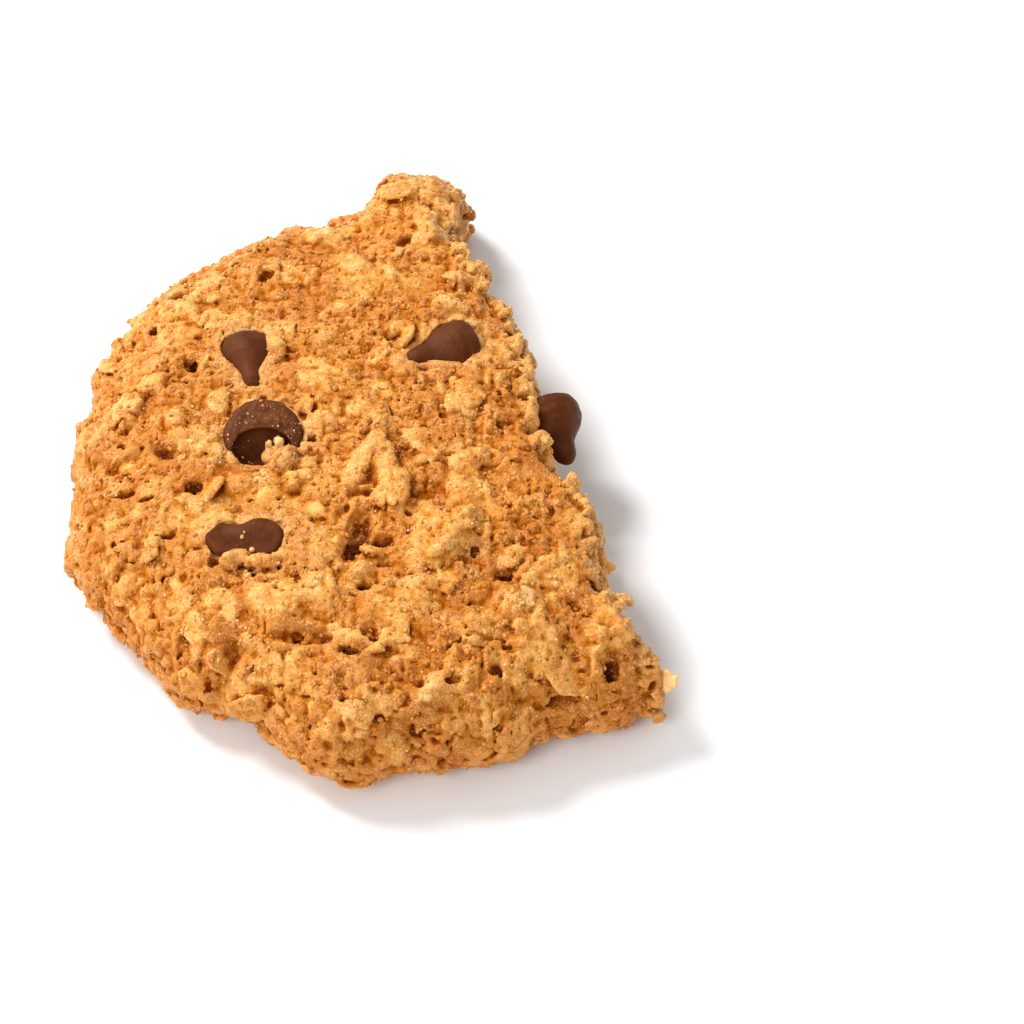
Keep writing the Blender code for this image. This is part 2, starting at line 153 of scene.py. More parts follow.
# Sharp pits that show: x, y, length, width, direction of the length in degrees, depth.
SHOWN_PITS = (
    (-21.4, -7.0, 2.2, 1.5, 20, 1.5), (-24.2, -2.8, 1.6, 1.1, 140, 0.9), (-23.6, 18.2, 1.9, 1.1, 70, 1.0),
    (-26.6, 14.2, 1.4, 0.9, 60, 0.8), (-22.3, 9.0, 1.5, 0.9, 60, 1.0), (-28.6, -1.3, 1.5, 0.9, 150, 0.8),
    (-25.6, -8.0, 2.0, 0.6, 5, 0.9), (-28.3, -7.2, 2.6, 0.6, 8, 0.8), (-23.6, -12.3, 1.6, 0.6, 10, 0.8),
    (-6.1, -14.6, 2.6, 1.8, 60, 1.9), (-3.6, -13.8, 1.9, 0.7, 5, 1.2), (-1.2, -11.3, 0.9, 0.6, 140, 0.8),
    (-5.3, -19.2, 1.2, 1.0, 30, 1.2), (-11.1, -24.4, 1.3, 1.1, 0, 1.2), (-6.2, -26.2, 1.8, 1.1, 160, 1.0),
    (-2.7, -26.0, 1.1, 0.9, 30, 1.0), (3.4, -25.3, 1.9, 0.7, 30, 1.0), (7.2, -27.6, 1.2, 1.5, 0, 1.2),
    (0.2, -29.4, 1.0, 0.7, 0, 0.8), (2.8, -29.4, 0.8, 0.8, 0, 0.8), (-3.5, -32.2, 1.1, 0.8, 20, 0.8),
    (8.0, -17.8, 1.7, 1.1, 30, 1.2), (17.7, -26.0, 1.4, 1.9, 20, 1.6),
)

# The chips, as in the solids: middle of the base, heading and rise of the tip, base radius, length.
CHIPS = {
    "chip_1": ((-17.3, 11.3, -2.3), 278.0, 18.0, 2.9, 6.8),
    "chip_2": ((-15.1, -1.7, 0.8), 90.0, -77.0, 3.75, 5.4),
    "chip_3": ((-14.9, -13.9, 0.35), 80.0, -78.0, 2.25, 3.2),
    "chip_4": ((4.4, 10.8, -1.9), 205.0, 16.0, 3.1, 6.8),
    "chip_5": ((11.7, 5.4, -4.4), 292.0, -8.0, 3.2, 6.6),
}
SECOND_LOBE = ((-18.2, -13.5, 0.3), 200.0, -76.0, 2.15, 2.9)
BASE_HOLLOW = ((-15.0, -2.95, -0.25), (2.9, 2.05, 1.5))
LOBE_BRIDGE = ((-16.6, -12.9, -0.25), (1.9, 1.2, 0.75))  # fills the notch at the far side of chip_3
CHIP_3_SIDES = (  # a place on each straight side of chip_3, and which way is out
    (-19.75, -13.9, -0.85, -0.53), (-19.9, -13.5, -0.80, 0.60), (-14.0, -11.9, 0.0, 1.0),
    (-12.75, -14.0, 1.0, 0.0), (-13.3, -12.1, 0.71, 0.71),
)
DROP_OUTLINE = (
    (0.0, 0.0), (0.80, 0.0), (0.95, 0.05), (1.0, 0.15), (0.96, 0.30), (0.82, 0.44),
    (0.60, 0.56), (0.43, 0.67), (0.36, 0.78), (0.30, 0.89), (0.17, 0.97), (0.0, 1.0),
)
CHIP_CLEAR = 2.0  # how far about a chip the relief of the crust is held back
POCKET_LIFTS = (0.0, 0.7, 1.4, 2.1)  # how a drop that shows its base is moved, so that its pocket is open
POCKET_GAP = 0.05  # between a chip and the dough where they don't touch

# Oat flakes set in the crust that show their own colour: x, y, length, width, direction of the length in
# degrees, paleness.
SHOWN_OATS = (
    (-27.5, 0.5, 1.3, 1.1, 163, 0.20), (-22.2, -2.1, 3.0, 2.1, 70, 0.15),
    (-27.7, -4.0, 2.9, 2.4, 1, 0.10), (-28.6, 3.6, 3.6, 2.8, 60, 0.30),
    (-26.3, 6.4, 3.2, 1.8, 10, 0.25), (-19.6, 3.0, 2.6, 2.0, 100, 0.30),
    (-23.8, -18.2, 3.9, 2.6, 131, 0.25), (-9.4, -19.3, 4.1, 1.6, 81, 0.90),
    (-12.1, -19.5, 3.2, 1.5, 85, 0.30), (-15.5, -17.4, 2.5, 0.9, 27, 1.00),
    (-29.2, -16.6, 1.8, 1.0, 126, 0.90), (-24.2, -22.6, 1.5, 1.3, 39, 0.70),
    (-6.8, -20.2, 2.2, 1.5, 77, 0.25), (-10.2, -13.5, 3.0, 2.1, 81, 0.10),
    (0.6, -19.2, 2.8, 1.7, 167, 0.40), (9.7, -20.8, 3.0, 2.6, 37, 0.60),
    (19.7, -22.3, 1.6, 1.6, 143, 0.50), (12.0, -26.3, 4.0, 2.8, 79, 0.35),
    (10.1, -28.6, 3.0, 2.6, 53, 0.20), (1.4, -29.7, 3.3, 1.8, 49, 0.85),
    (-5.8, -32.4, 1.8, 2.4, 35, 0.80), (-5.1, -33.3, 1.7, 1.7, 166, 0.70),
    (2.7, -34.2, 2.7, 1.6, 7, 0.45), (6.3, -33.4, 1.5, 1.2, 172, 0.90),
    (4.5, -33.4, 0.8, 0.8, 49, 0.80), (-6.2, -27.8, 2.7, 2.1, 16, 0.60),
    (-2.1, -27.0, 1.3, 1.1, 163, 0.75), (-10.3, -29.2, 1.8, 1.6, 159, 0.40),
    (-4.7, -24.2, 2.2, 1.3, 44, 0.40), (2.8, -14.7, 5.6, 1.6, 56, 0.50),
    (-5.4, -5.0, 7.5, 1.9, 62, 0.30), (-3.0, -7.0, 8.5, 1.8, 98, 0.40),
    (-1.4, -8.6, 4.2, 1.4, 90, 0.20), (-10.6, 26.8, 3.2, 1.8, 20, 0.60),
    (-7.6, 22.6, 2.6, 1.5, 130, 0.40), (1.3, 26.8, 3.6, 1.6, 150, 0.70),
)
# Dough that laps over the chips: x, y, height over the smooth crown, half sizes, direction in degrees.
LAPS = (
    (-12.9, -4.6, 0.0, (1.8, 1.3, 1.1), 60),
    (-13.8, -3.3, -0.9, (1.5, 1.1, 0.9), 20),
    (-16.9, -15.9, 0.0, (1.7, 0.9, 1.0), 25),
    (-14.6, -16.6, -0.1, (1.8, 0.8, 1.0), -5),
    (-14.2, 9.6, -0.3, (0.9, 1.8, 0.9), 12),
)
# Crumbs that lie on the chips: x, y, radius.
SHOWN_CRUMBS = (
    (-14.5, -2.6, 0.46), (-13.3, -2.5, 0.56), (-17.0, -3.1, 0.15), (-16.4, -3.5, 0.12),
    (-16.1, -3.7, 0.13), (-16.2, -4.2, 0.10), (-15.3, 1.5, 0.18), (-15.1, 0.9, 0.14),
    (-15.6, -15.0, 0.34), (-16.5, -13.9, 0.22), (-16.3, -13.5, 0.17),
)
DOUGH_LOW, DOUGH_HIGH, DOUGH_STEP = (-35.8, -37.2, -0.6), (24.4, 41.0, 15.2), 0.16
CHIP_STEP = 0.12

# Where less than this share of the dough's neighbourhood is dough, it has crumbled away. Then how steep
# the field is there, and how many cells each way the neighbourhood reaches.
THIN_SHARE, THIN_STEEPNESS, THIN_REACH = 0.24, 2.0, 4

MOST_TRIANGLES = 380000  # of the two pieces of dough together

# Colours of the dough, from broad to fine, then of the chocolate, the loose pieces and the floor.
CRUST_BROWN, CRUST_TAN = (0.52, 0.172, 0.014), (0.66, 0.258, 0.034)
CRUST_PATCH, CRUST_THIN = (0.45, 0.130, 0.008), (0.78, 0.385, 0.090)
CRUMB_PALE, CRUMB_BROWN = (0.76, 0.40, 0.115), (0.58, 0.245, 0.045)
OAT_GOLD, OAT_BROWN = (0.82, 0.420, 0.110), (0.68, 0.285, 0.045)
BARE_OAT, BARE_OAT_GOLD = (0.97, 0.72, 0.38), (0.90, 0.53, 0.17)
# The last colour here is painted shade: a darker brown in wide hollows.
# The middle colour here is painted light: raised lumps turned lighter gold, as lit tops look.
RIM_BROWN, PAINTED_LIGHT_ON_RAISED, PAINTED_VALLEY_SHADE = (0.55, 0.175, 0.012), (0.77, 0.35, 0.090), (0.41, 0.132, 0.005)
SMEAR_PALE, SMEAR_BROWN = (0.78, 0.41, 0.115), (0.54, 0.235, 0.075)
GRAIN_BROWN, GRAIN_BRIGHT, GRAIN_DARK = (0.40, 0.108, 0.003), (0.96, 0.67, 0.34), (0.28, 0.055, 0.003)
# The first two colours here are painted shade in pits and creases: a redder tint and a deep brown.
# The last colour here is painted shade, in hollows that lie deep under the smooth form.
PAINTED_CAVITY_SHADE_TINT, PAINTED_CAVITY_SHADE, PAINTED_DEEP_SHADE = (0.74, 0.58, 0.22), (0.22, 0.032, 0.001), (0.18, 0.027, 0.001)
CHOCOLATE_DARK, CHOCOLATE_LIGHT = (0.080, 0.0195, 0.005), (0.113, 0.030, 0.0075)
BLOOM, CHOCOLATE_FLECK = (0.17, 0.058, 0.024), (0.26, 0.11, 0.045)
LOOSE_PALE, LOOSE_BROWN = (0.88, 0.52, 0.21), (0.62, 0.27, 0.065)
SUGAR_AMBER, SUGAR_PALE = (0.94, 0.62, 0.27), (0.98, 0.80, 0.50)
FLAKE_GOLD, FLAKE_PALE, FLAKE_BROWN = (0.86, 0.42, 0.090), (0.98, 0.68, 0.31), (0.68, 0.27, 0.05)
FLOOR_GREY = (0.90, 0.90, 0.90)

# Lights: name, power in watts, size, heading and rise of the way to the light in degrees, distance.
LIGHTS = (("key", 4.1, 0.24, 140.0, 46.0, 0.60), ("fill", 2.1, 0.34, 240.0, 44.0, 0.70))
LIGHT_ALL_ROUND = 0.58
FLOOR_HALF = 3.0

# The view of the photo: the point on the floor at its middle, and the way to the camera.
VIEW_TARGET = (ROUND_MIDDLE[0] + 8.6, ROUND_MIDDLE[1] - 0.9, 0.0)
VIEW_RISE = 51.0
VIEW_DISTANCE = 375.0
VIEW_LENS = 135.0


def hashed(cells, seed):
    """A value from -1 to 1 for each whole-numbered cell."""
    mix = seed * HASH_SEED + sum(cells[..., axis] * factor for axis, factor in enumerate(HASH_FACTORS))
    mix = (mix ^ (mix >> 13)) & 0xFFFFFFFF
    mix = (mix * HASH_MIX) & 0xFFFFFFFF
    mix = mix ^ (mix >> 16)
    return (mix & 0xFFFF) / 32767.5 - 1.0


def ramp(value, low, high):
    """0 below low, 1 above high, and a smooth rise between them."""
    part = np.clip((value - low) / (high - low), 0.0, 1.0)
    return part * part * (3.0 - 2.0 * part)


class Grid:
    """A box of space in millimetres about the middle of the round, cut into cells."""

    def __init__(self, low, high, step):
        self.low, self.step = np.array(low, float), step
        self.axes = [np.arange(start, end, step) for start, end in zip(low, high)]

    def lumps(self, across, seed):
        """Smooth noise from -1 to 1 over the whole grid, with lumps of this size."""
        corners, parts = [], []
        for places in self.axes:
            cells = places / across
            corner = np.floor(cells).astype(np.int64)
            part = cells - corner
            corners.append(corner)
            parts.append((part * part * (3.0 - 2.0 * part)).astype(np.float32))
        ranges = [np.arange(corner.min(), corner.max() + 2) for corner in corners]
        values = hashed(np.stack(np.meshgrid(*ranges, indexing="ij"), axis=-1), seed).astype(np.float32)
        for axis, (corner, part) in enumerate(zip(corners, parts)):
            shape = [1, 1, 1]
            shape[axis] = -1
            index = corner - corner.min()
            low, high = values.take(index, axis), values.take(index + 1, axis)
            values = low + (high - low) * part.reshape(shape)
        return values

    def cobbles(self, across, seed):
        """Rounded lumps with creases between them, 0 in the creases and at most 1."""
        return np.abs(self.lumps(across, seed))

    def read(self, values, points):
        """The values at each point, between the nearest cells."""
        cells = np.clip((points - self.low) / self.step, 0.0, np.array(values.shape) - 1.001)
        corner = cells.astype(int)
        part = cells - corner
        total = np.zeros(len(points))
        for step in itertools.product((0, 1), repeat=3):
            weight = np.prod(np.where(np.array(step) == 1, part, 1.0 - part), axis=1)
            total += weight * values[tuple((corner + np.array(step)).T)]
        return total

    def holds(self, x, y):
        return all(axis[0] < place < axis[-1] for axis, place in zip(self.axes, (x, y)))

    def block(self, middle, reach):
        """The cells within a reach of a point: their index, and their places from the point."""
        low = np.maximum(((middle - reach - self.low) / self.step).astype(int), 0)
        high = ((middle + reach - self.low) / self.step).astype(int) + 2
        index = tuple(slice(a, max(a, b)) for a, b in zip(low, high))
        places = [axis[part] for axis, part in zip(self.axes, index)]
        return index, np.stack(np.meshgrid(*places, indexing="ij"), axis=-1) - middle

    def surface(self, field):
        """Points and four-sided faces of the field's zero surface (surface nets)."""
        inside = field < 0.0
        size = np.array(field.shape) - 1
        count = np.zeros(size, np.uint8)
        for step in itertools.product((0, 1), repeat=3):
            count += inside[tuple(slice(s, s + n) for s, n in zip(step, size))]
        active = (count > 0) & (count < 8)
        cells = np.argwhere(active)
        number = np.full(size, -1, np.int64)
        number[active] = np.arange(len(cells))
        total, crossings = np.zeros((len(cells), 3)), np.zeros(len(cells))
        units = np.eye(3, dtype=int)
        for axis in range(3):
            others = [units[other] for other in range(3) if other != axis]
            for first, second in itertools.product((0, 1), repeat=2):
                start = cells + first * others[0] + second * others[1]
                near = field[tuple(start.T)]
                far = field[tuple((start + units[axis]).T)]
                crosses = (near < 0.0) != (far < 0.0)
                part = near[crosses] / (near[crosses] - far[crosses])
                total[crosses] += start[crosses] + part[:, None] * units[axis]
                crossings[crosses] += 1
        points = self.low + self.step * total / crossings[:, None]
        faces = []
        for axis in range(3):
            first, second = (units[(axis + 1) % 3], units[(axis + 2) % 3])
            low = tuple(slice(0, -1) if a == axis else slice(1, -1) for a in range(3))
            high = tuple(slice(1, None) if a == axis else slice(1, -1) for a in range(3))
            for leaving in (True, False):
                edges = np.argwhere(inside[low] & ~inside[high] if leaving else ~inside[low] & inside[high])
                edges += 1 - units[axis]
                ring = [edges, edges - first, edges - first - second, edges - second]
                quads = np.stack([number[tuple(cell.T)] for cell in ring], axis=1)
                faces.append(quads if leaving else quads[:, ::-1])
        return points, np.concatenate(faces)


def outline_radius(degrees):
    radius = np.full(np.shape(degrees), COOKIE_RADIUS)
    for direction, spread, size in OUTLINE_BULGES:
        away = (degrees - direction + 180.0) % 360.0 - 180.0
        radius = radius + size * np.exp(-((away / spread) ** 4))
    return radius


def crown_height(x, y):
    """Height of the smooth crown over a point of the round."""
    out = np.hypot(x, y) / outline_radius(np.degrees(np.arctan2(y, x)))
    return WIDEST_AT + (COOKIE_HEIGHT - WIDEST_AT) * np.sqrt(1.0 - np.clip(out, 0.0, 1.0) ** CROWN_POWER)


def over_crown(x, y, over):
    """The point at this height over the smooth crown."""
    return np.array((x, y, float(crown_height(x, y)) + over))


def break_distance(along):
    distance = np.full(np.shape(along), BREAK_DISTANCE)
    for place, spread, size in BREAK_BULGES:
        distance = distance + size * np.exp(-(((along - place) / spread) ** 2))
    return distance


def break_frame(x, y):
    """Distances of points from the middle of the round: out through the break, and along it."""
    cos, sin = math.cos(BREAK_DIRECTION), math.sin(BREAK_DIRECTION)
    return x * cos + y * sin, y * cos - x * sin


def patch(x, y, mark):
    """1 in the middle of a flake or a hollow, with a flat top and steep sides, and 0 outside it."""
    turn = math.radians(mark[4])
    along = (x - mark[0]) * math.cos(turn) + (y - mark[1]) * math.sin(turn)
    across = (y - mark[1]) * math.cos(turn) - (x - mark[0]) * math.sin(turn)
    reach = np.hypot(along / (mark[2] / 2.0), across / (mark[3] / 2.0))
    return 1.0 - ramp(reach, MARK_CORE, MARK_EDGE)


def drawn_marks(kinds, low, high, seed):
    """Marks at random places between two corners of a face, each like one of the shown ones."""
    rng = np.random.default_rng(seed)
    marks = []
    for count, lengths, slimness, heights in kinds:
        for _ in range(count):
            x, y = rng.uniform(low, high)
            length = rng.uniform(*lengths)
            width = length * rng.uniform(*slimness)
            marks.append((x, y, length, width, rng.uniform(0.0, 180.0), rng.uniform(*heights)))
    return marks


def marks_table(x, y, marks):
    """The marks' relief and how much of a flake there is, at each point of a face."""
    relief, flake = np.zeros(np.shape(x)), np.zeros(np.shape(x))
    for number, mark in enumerate(marks):
        part = patch(x, y, mark)
        relief += mark[5] * part
        if mark[5] > 0.0:
            paleness = 1.0 if number < len(SHOWN_FLAKES) else 0.35 + 0.5 * ((number * 7) % 10) / 10.0
            flake = np.maximum(flake, part * paleness)
    return relief, flake


def from_table(table, places, low, step):
    """Reads a table of (place, height) at a place for each column of the grid, for all heights."""
    cells = np.clip((places - low) / step, 0.0, len(table) - 1.001)
    corner = cells.astype(int)
    part = (cells - corner)[..., None].astype(np.float32)
    return table[corner] * (1.0 - part) + table[corner + 1] * part


def smooth_larger(first, second, blend):
    """The larger of two fields, with their meeting rounded over a distance."""
    near = np.maximum(blend - np.abs(first - second), 0.0) / blend
    return np.maximum(first, second) + near * near * blend * 0.25


def smooth_form(grid):
    """Distances to the smooth broken cookie over the grid, and how near each point is to the break."""
    x, y = np.meshgrid(grid.axes[0], grid.axes[1], indexing="ij")
    z = grid.axes[2][None, None, :].astype(np.float32)
    radius = outline_radius(np.degrees(np.arctan2(y, x)))
    out = np.maximum(np.hypot(x, y) / radius, 1e-3)
    parts = []
    for power, rise in ((CROWN_POWER, COOKIE_HEIGHT - WIDEST_AT), (UNDERSIDE_POWER, WIDEST_AT)):
        up = (z - WIDEST_AT) / rise
        form = (out**power).astype(np.float32)[..., None] + (up * up - 1.0)
        outward_slope = (power * out ** (power - 1.0) / radius).astype(np.float32)[..., None]
        slope = np.sqrt(outward_slope * outward_slope + (2.0 * up / rise) ** 2)
        parts.append(form / np.maximum(slope, 0.02))
    whole = np.where(z > WIDEST_AT, parts[0], parts[1])
    outward, along = break_frame(x, y)
    beyond = (outward - break_distance(along)).astype(np.float32)[..., None] + BREAK_LEAN * z
    crumb = 1.0 - ramp(-beyond, 0.6, 2.2)
    return smooth_larger(whole, beyond, 0.5), crumb, x, y, along


def chip_shelter(x, y):
    """0 round each chip, where the crust stays smooth, and 1 away from them."""
    shelter = np.ones(np.shape(x))
    for (chip_x, chip_y, _), heading, rise, radius, length in CHIPS.values():
        reach = 0.5 * length * math.cos(math.radians(rise))
        middle_x = chip_x + reach * math.cos(math.radians(heading))
        middle_y = chip_y + reach * math.sin(math.radians(heading))
        away = np.hypot(x - middle_x, y - middle_y)
        shelter = shelter * ramp(away, 0.7 * radius, 0.7 * radius + CHIP_CLEAR)
    return shelter


def relief_of_solids(grid, crumb, x, y, along):
    """The relief that the solids have, and the share of flake, over the whole grid."""
    z = grid.axes[2]
    half = (COOKIE_RADIUS, COOKIE_RADIUS)
    hollows = [(*mark[:5], -mark[5]) for mark in SHOWN_HOLLOWS]
    crown_marks = [*SHOWN_FLAKES, *hollows, *drawn_marks(CROWN_DRAWN, np.negative(half), half, RANDOM_SEED)]
    half_turn = math.pi * COOKIE_RADIUS
    rim_marks = drawn_marks(RIM_DRAWN, (-half_turn, 1.0), (half_turn, CROWN_FROM), RANDOM_SEED + 1)
    low_corner, high_corner = (-COOKIE_RADIUS, 1.0), (COOKIE_RADIUS, COOKIE_HEIGHT)
    break_marks = drawn_marks(BREAK_DRAWN, low_corner, high_corner, RANDOM_SEED + 2)

    crown = [table[..., None].astype(np.float32) for table in marks_table(x, y, crown_marks)]
    reach = COOKIE_RADIUS + 6.0
    sides = []
    for start, end, marks, places in (
        (-half_turn, half_turn + TABLE_STEP, rim_marks, np.arctan2(y, x) * COOKIE_RADIUS),
        (-reach, reach, break_marks, along),
    ):
        tables = marks_table(*np.meshgrid(np.arange(start, end, TABLE_STEP), z, indexing="ij"), marks)
        sides.append([from_table(table.astype(np.float32), places, start, TABLE_STEP) for table in tables])
    rim, broken = sides

    on_crown = ramp(z, RIM_FROM, CROWN_FROM).astype(np.float32)
    relief, flake = (on_crown * top + (1.0 - on_crown) * side for top, side in zip(crown, rim))
    for number, (across, height) in enumerate(CRUST_LUMPS):
        relief += height * grid.lumps(across, RANDOM_SEED + number)
    inner = broken[0]
    for number, (across, height) in enumerate(CRUMB_LUMPS):
        inner += height * grid.lumps(across, RANDOM_SEED + 20 + number)
    relief += crumb * (inner - relief)
    flake += crumb * (broken[1] - flake)
    return relief, flake


def fine_relief(grid, crumb):
    """Cobbles and ragged pits, finer than the solids hold, over the whole grid."""
    crust, inside = np.zeros_like(crumb), np.zeros_like(crumb)
    for relief, sizes, seed in ((crust, FINE_CRUST, CRUST_SEED), (inside, FINE_CRUMB, CRUMB_SEED)):
        for number, (across, height) in enumerate(sizes):
            relief += height * (grid.cobbles(across, seed + number) - 0.3)
    for relief, pits, seed in ((crust, RAGGED_PITS, PITS_SEED), (inside, RAGGED_HOLES, HOLES_SEED)):
        for number, (across, rare, depth) in enumerate(pits):
            relief -= depth * ramp(grid.lumps(across, seed + number), rare, rare + 0.25)
    for number, (across, other, width, depth) in enumerate(CREVICES):
        seed = CREVICES_SEED + number
        near = grid.cobbles(across, seed) + grid.cobbles(other, seed + len(CREVICES))
        crust -= depth * (1.0 - ramp(near, 0.0, width))
    return crust + crumb * (inside - crust)


def largest_island(points, faces):
    """Leaves out sealed bubbles and loose scraps."""
    label = np.arange(len(points))
    while True:
        lowest = label[faces].min(axis=1)
        fresh = label.copy()
        for corner in range(faces.shape[1]):
            np.minimum.at(fresh, faces[:, corner], lowest)
        fresh = fresh[fresh]
        if (fresh == label).all():
            break
        label = fresh
    kept = label[faces[:, 0]] == np.bincount(label[faces[:, 0]]).argmax()
    used, index = np.unique(faces[kept], return_inverse=True)
    return points[used], index.reshape(-1, faces.shape[1])


def normals_of(points, faces):
    across = points[faces[:, 2]] - points[faces[:, 0]]
    other = points[faces[:, 3]] - points[faces[:, 1]]
    face_normals = np.cross(across, other)
    normals = np.zeros_like(points)
    for corner in range(4):
        np.add.at(normals, faces[:, corner], face_normals)
    return normals / np.maximum(np.linalg.norm(normals, axis=1, keepdims=True), 1e-12)


def blurred(grid, reach):
    """The mean of the grid over a box that reaches this many cells each way."""
    for axis in range(3):
        padded = np.concatenate([np.repeat(grid.take([0], axis), reach + 1, axis), grid], axis)
        padded = np.concatenate([padded, np.repeat(grid.take([-1], axis), reach, axis)], axis)
        sums = np.cumsum(padded, axis=axis, dtype=np.float64)
        count, length = 2 * reach + 1, grid.shape[axis]
        ends = sums.take(range(count, count + length), axis)
        grid = ((ends - sums.take(range(length), axis)) / count).astype(np.float32)
    return grid


def ellipsoid(places, half_sizes):
    """Roughly the distance to an ellipsoid about the origin."""
    scaled = np.linalg.norm(places / half_sizes, axis=-1)
    steeper = np.linalg.norm(places / (half_sizes * half_sizes), axis=-1)
    return scaled * (scaled - 1.0) / np.maximum(steeper, 1e-6)


def turned_to(normal, turn):
    """Rows: a direction in the surface at this turn, the one across it, and the normal."""
    side = np.cross(normal, (0.0, 0.0, 1.0) if abs(normal[2]) < 0.9 else (1.0, 0.0, 0.0))
    side /= np.linalg.norm(side)
    other = np.cross(normal, side)
    first = math.cos(turn) * side + math.sin(turn) * other
    return np.array([first, np.cross(normal, first), normal])


def stamp(grid, field, middle, axes, half_sizes, blend, hollow=False, paint=None):
    """Adds an ellipsoid to the field, or takes one away, and paints where it comes out."""
    half_sizes = np.array(half_sizes)
    index, places = grid.block(np.array(middle), half_sizes.max() + blend)
    if 0 in places.shape:
        return
    shape = ellipsoid(places @ np.array(axes).T, half_sizes).astype(np.float32)
    block = field[index]
    if hollow:
        field[index] = smooth_larger(block, -shape, blend)
        return
    if paint is not None:
        painted, value = paint
        share = ramp(block - shape, -0.25, 0.15)
        painted[index] += share * (value - painted[index])
    field[index] = -smooth_larger(-block, -shape, blend)


class Stamper:
    """Stamps many small shapes on a field, at random places of its surface."""

    def __init__(self, grid, field, crumb, flake, seed):
        self.grid, self.field, self.flake = grid, field, flake
        self.rng = np.random.default_rng(seed)
        self.points, faces = grid.surface(field)
        self.normals = normals_of(self.points, faces)
        self.crumb = grid.read(crumb, self.points)
        self.shelter = chip_shelter(self.points[:, 0], self.points[:, 1])

    def places(self, count, on_crumb=False, lowest=1.2, highest=99.0):
        """Random points of the crust, or of the break, and the surface's normals there."""
        fits = (self.crumb > 0.7 if on_crumb else self.crumb < 0.4) & (self.shelter > 0.6)
        fits &= (self.points[:, 2] > lowest) & (self.points[:, 2] < highest)
        chosen = self.rng.choice(np.flatnonzero(fits), count)
        return zip(self.points[chosen], self.normals[chosen])

    def draw(self, shapes, kinds):
        for count, where, *numbers in kinds:
            shapes(self.places(count, **where), *numbers)

    def leaning(self, normal, tilt):
        lean = normal + self.rng.normal(0.0, tilt, 3)
        return turned_to(lean / np.linalg.norm(lean), self.rng.uniform(0.0, math.pi))

    def pebbles(self, places, sizes):
        for middle, normal in places:
            size = self.rng.uniform(*sizes)
            half_sizes = size * self.rng.uniform((0.8, 0.6, 0.4), (1.3, 1.0, 0.7))
            axes = self.leaning(normal, 0.2)
            paint = (self.flake, self.rng.uniform(0.0, 0.45))
            stamp(self.grid, self.field, middle - normal * 0.2 * size, axes, half_sizes, 0.12, paint=paint)

    def pores(self, places, sizes, slimness, depth):
        for middle, normal in places:
            size = self.rng.uniform(*sizes) ** 2 / sizes[1]
            half_sizes = np.array((size, size * self.rng.uniform(*slimness), size * depth))
            stamp(self.grid, self.field, middle, self.leaning(normal, 0.25), half_sizes, 0.1, hollow=True)

    def flakes(self, places, lengths, sunk, tilt):
        """Oat flakes, sunk in the surface under a skin of dough."""
        for middle, normal in places:
            length = self.rng.uniform(*lengths)
            thick = self.rng.uniform(0.35, 0.5)
            half_sizes = (length / 2.0, length * self.rng.uniform(0.28, 0.42), thick)
            axes = self.leaning(normal, tilt)
            middle = middle - normal * sunk * thick
            paint = (self.flake, self.rng.uniform(0.6, 1.0))
            stamp(self.grid, self.field, middle, axes, half_sizes, 0.15, paint=paint)

    def set_in(self, mark, pale):
        """An oat flake that lies in the crust and shows its own colour."""
        x, y, length, width, degrees, paleness = mark
        middle = np.array((x, y, top_of(self.grid, self.field, x, y)))
        normal = self.normals[np.linalg.norm(self.points - middle, axis=1) < 1.5].sum(axis=0)
        normal /= np.linalg.norm(normal)
        first = np.array(flat_axes(degrees)[0])
        first -= normal * (first @ normal)
        first /= np.linalg.norm(first)
        axes = (first, np.cross(normal, first), normal)
        half_sizes = (length / 2.0, width / 2.0, 0.5)
        for paint in ((pale, paleness), (self.flake, 1.0)):
            stamp(self.grid, self.field, middle - normal * 0.35, axes, half_sizes, 0.2, paint=paint)


def flat_axes(degrees):
    turn = math.radians(degrees)
    return ((math.cos(turn), math.sin(turn), 0.0), (-math.sin(turn), math.cos(turn), 0.0), (0.0, 0.0, 1.0))


def top_of(grid, field, x, y):
    """The height of the highest solid point over a place, and 0 where there is none."""
    column = field[int((x - grid.low[0]) / grid.step), int((y - grid.low[1]) / grid.step)]
    return np.max(grid.axes[2], where=column < 0.0, initial=0.0)


def add_shown_pits(grid, field):
    for x, y, length, width, degrees, depth in SHOWN_PITS:
        middle = (x, y, top_of(grid, field, x, y))
        half_sizes = (length / 2.0, width / 2.0, depth)
        stamp(grid, field, middle, flat_axes(degrees), half_sizes, 0.12, hollow=True)


def way_to(heading, rise):
    """The direction with this heading and rise in degrees."""
    heading, rise = math.radians(heading), math.radians(rise)
    return Vector((math.cos(heading) * math.cos(rise), math.sin(heading) * math.cos(rise), math.sin(rise)))


def drop_axes(heading, rise):
    """A drop's own axes as columns, its length last."""
    return np.array(Vector((0.0, 0.0, 1.0)).rotation_difference(way_to(heading, rise)).to_matrix())


def drop_base(numbers):
    return over_crown(*numbers[0])


def drop_distance(places, numbers):
    """Distances to a chocolate drop from places that are given from the middle of its base."""
    radius, length = numbers[3:]
    local = places @ drop_axes(*numbers[1:3])
    out, up = np.hypot(local[..., 0], local[..., 1]), local[..., 2]
    corners = np.array(DROP_OUTLINE) * (radius, length)
    nearest = np.full(out.shape, np.inf)
    for (out_0, up_0), (out_1, up_1) in zip(corners, corners[1:]):
        across, climb = out_1 - out_0, up_1 - up_0
        part = np.clip(((out - out_0) * across + (up - up_0) * climb) / (across**2 + climb**2), 0.0, 1.0)
        nearest = np.minimum(nearest, np.hypot(out - out_0 - part * across, up - up_0 - part * climb))
    inside = (up > 0.0) & (up < length) & (out < np.interp(up, corners[1:, 1], corners[1:, 0]))
    return np.where(inside, -nearest, nearest).astype(np.float32)


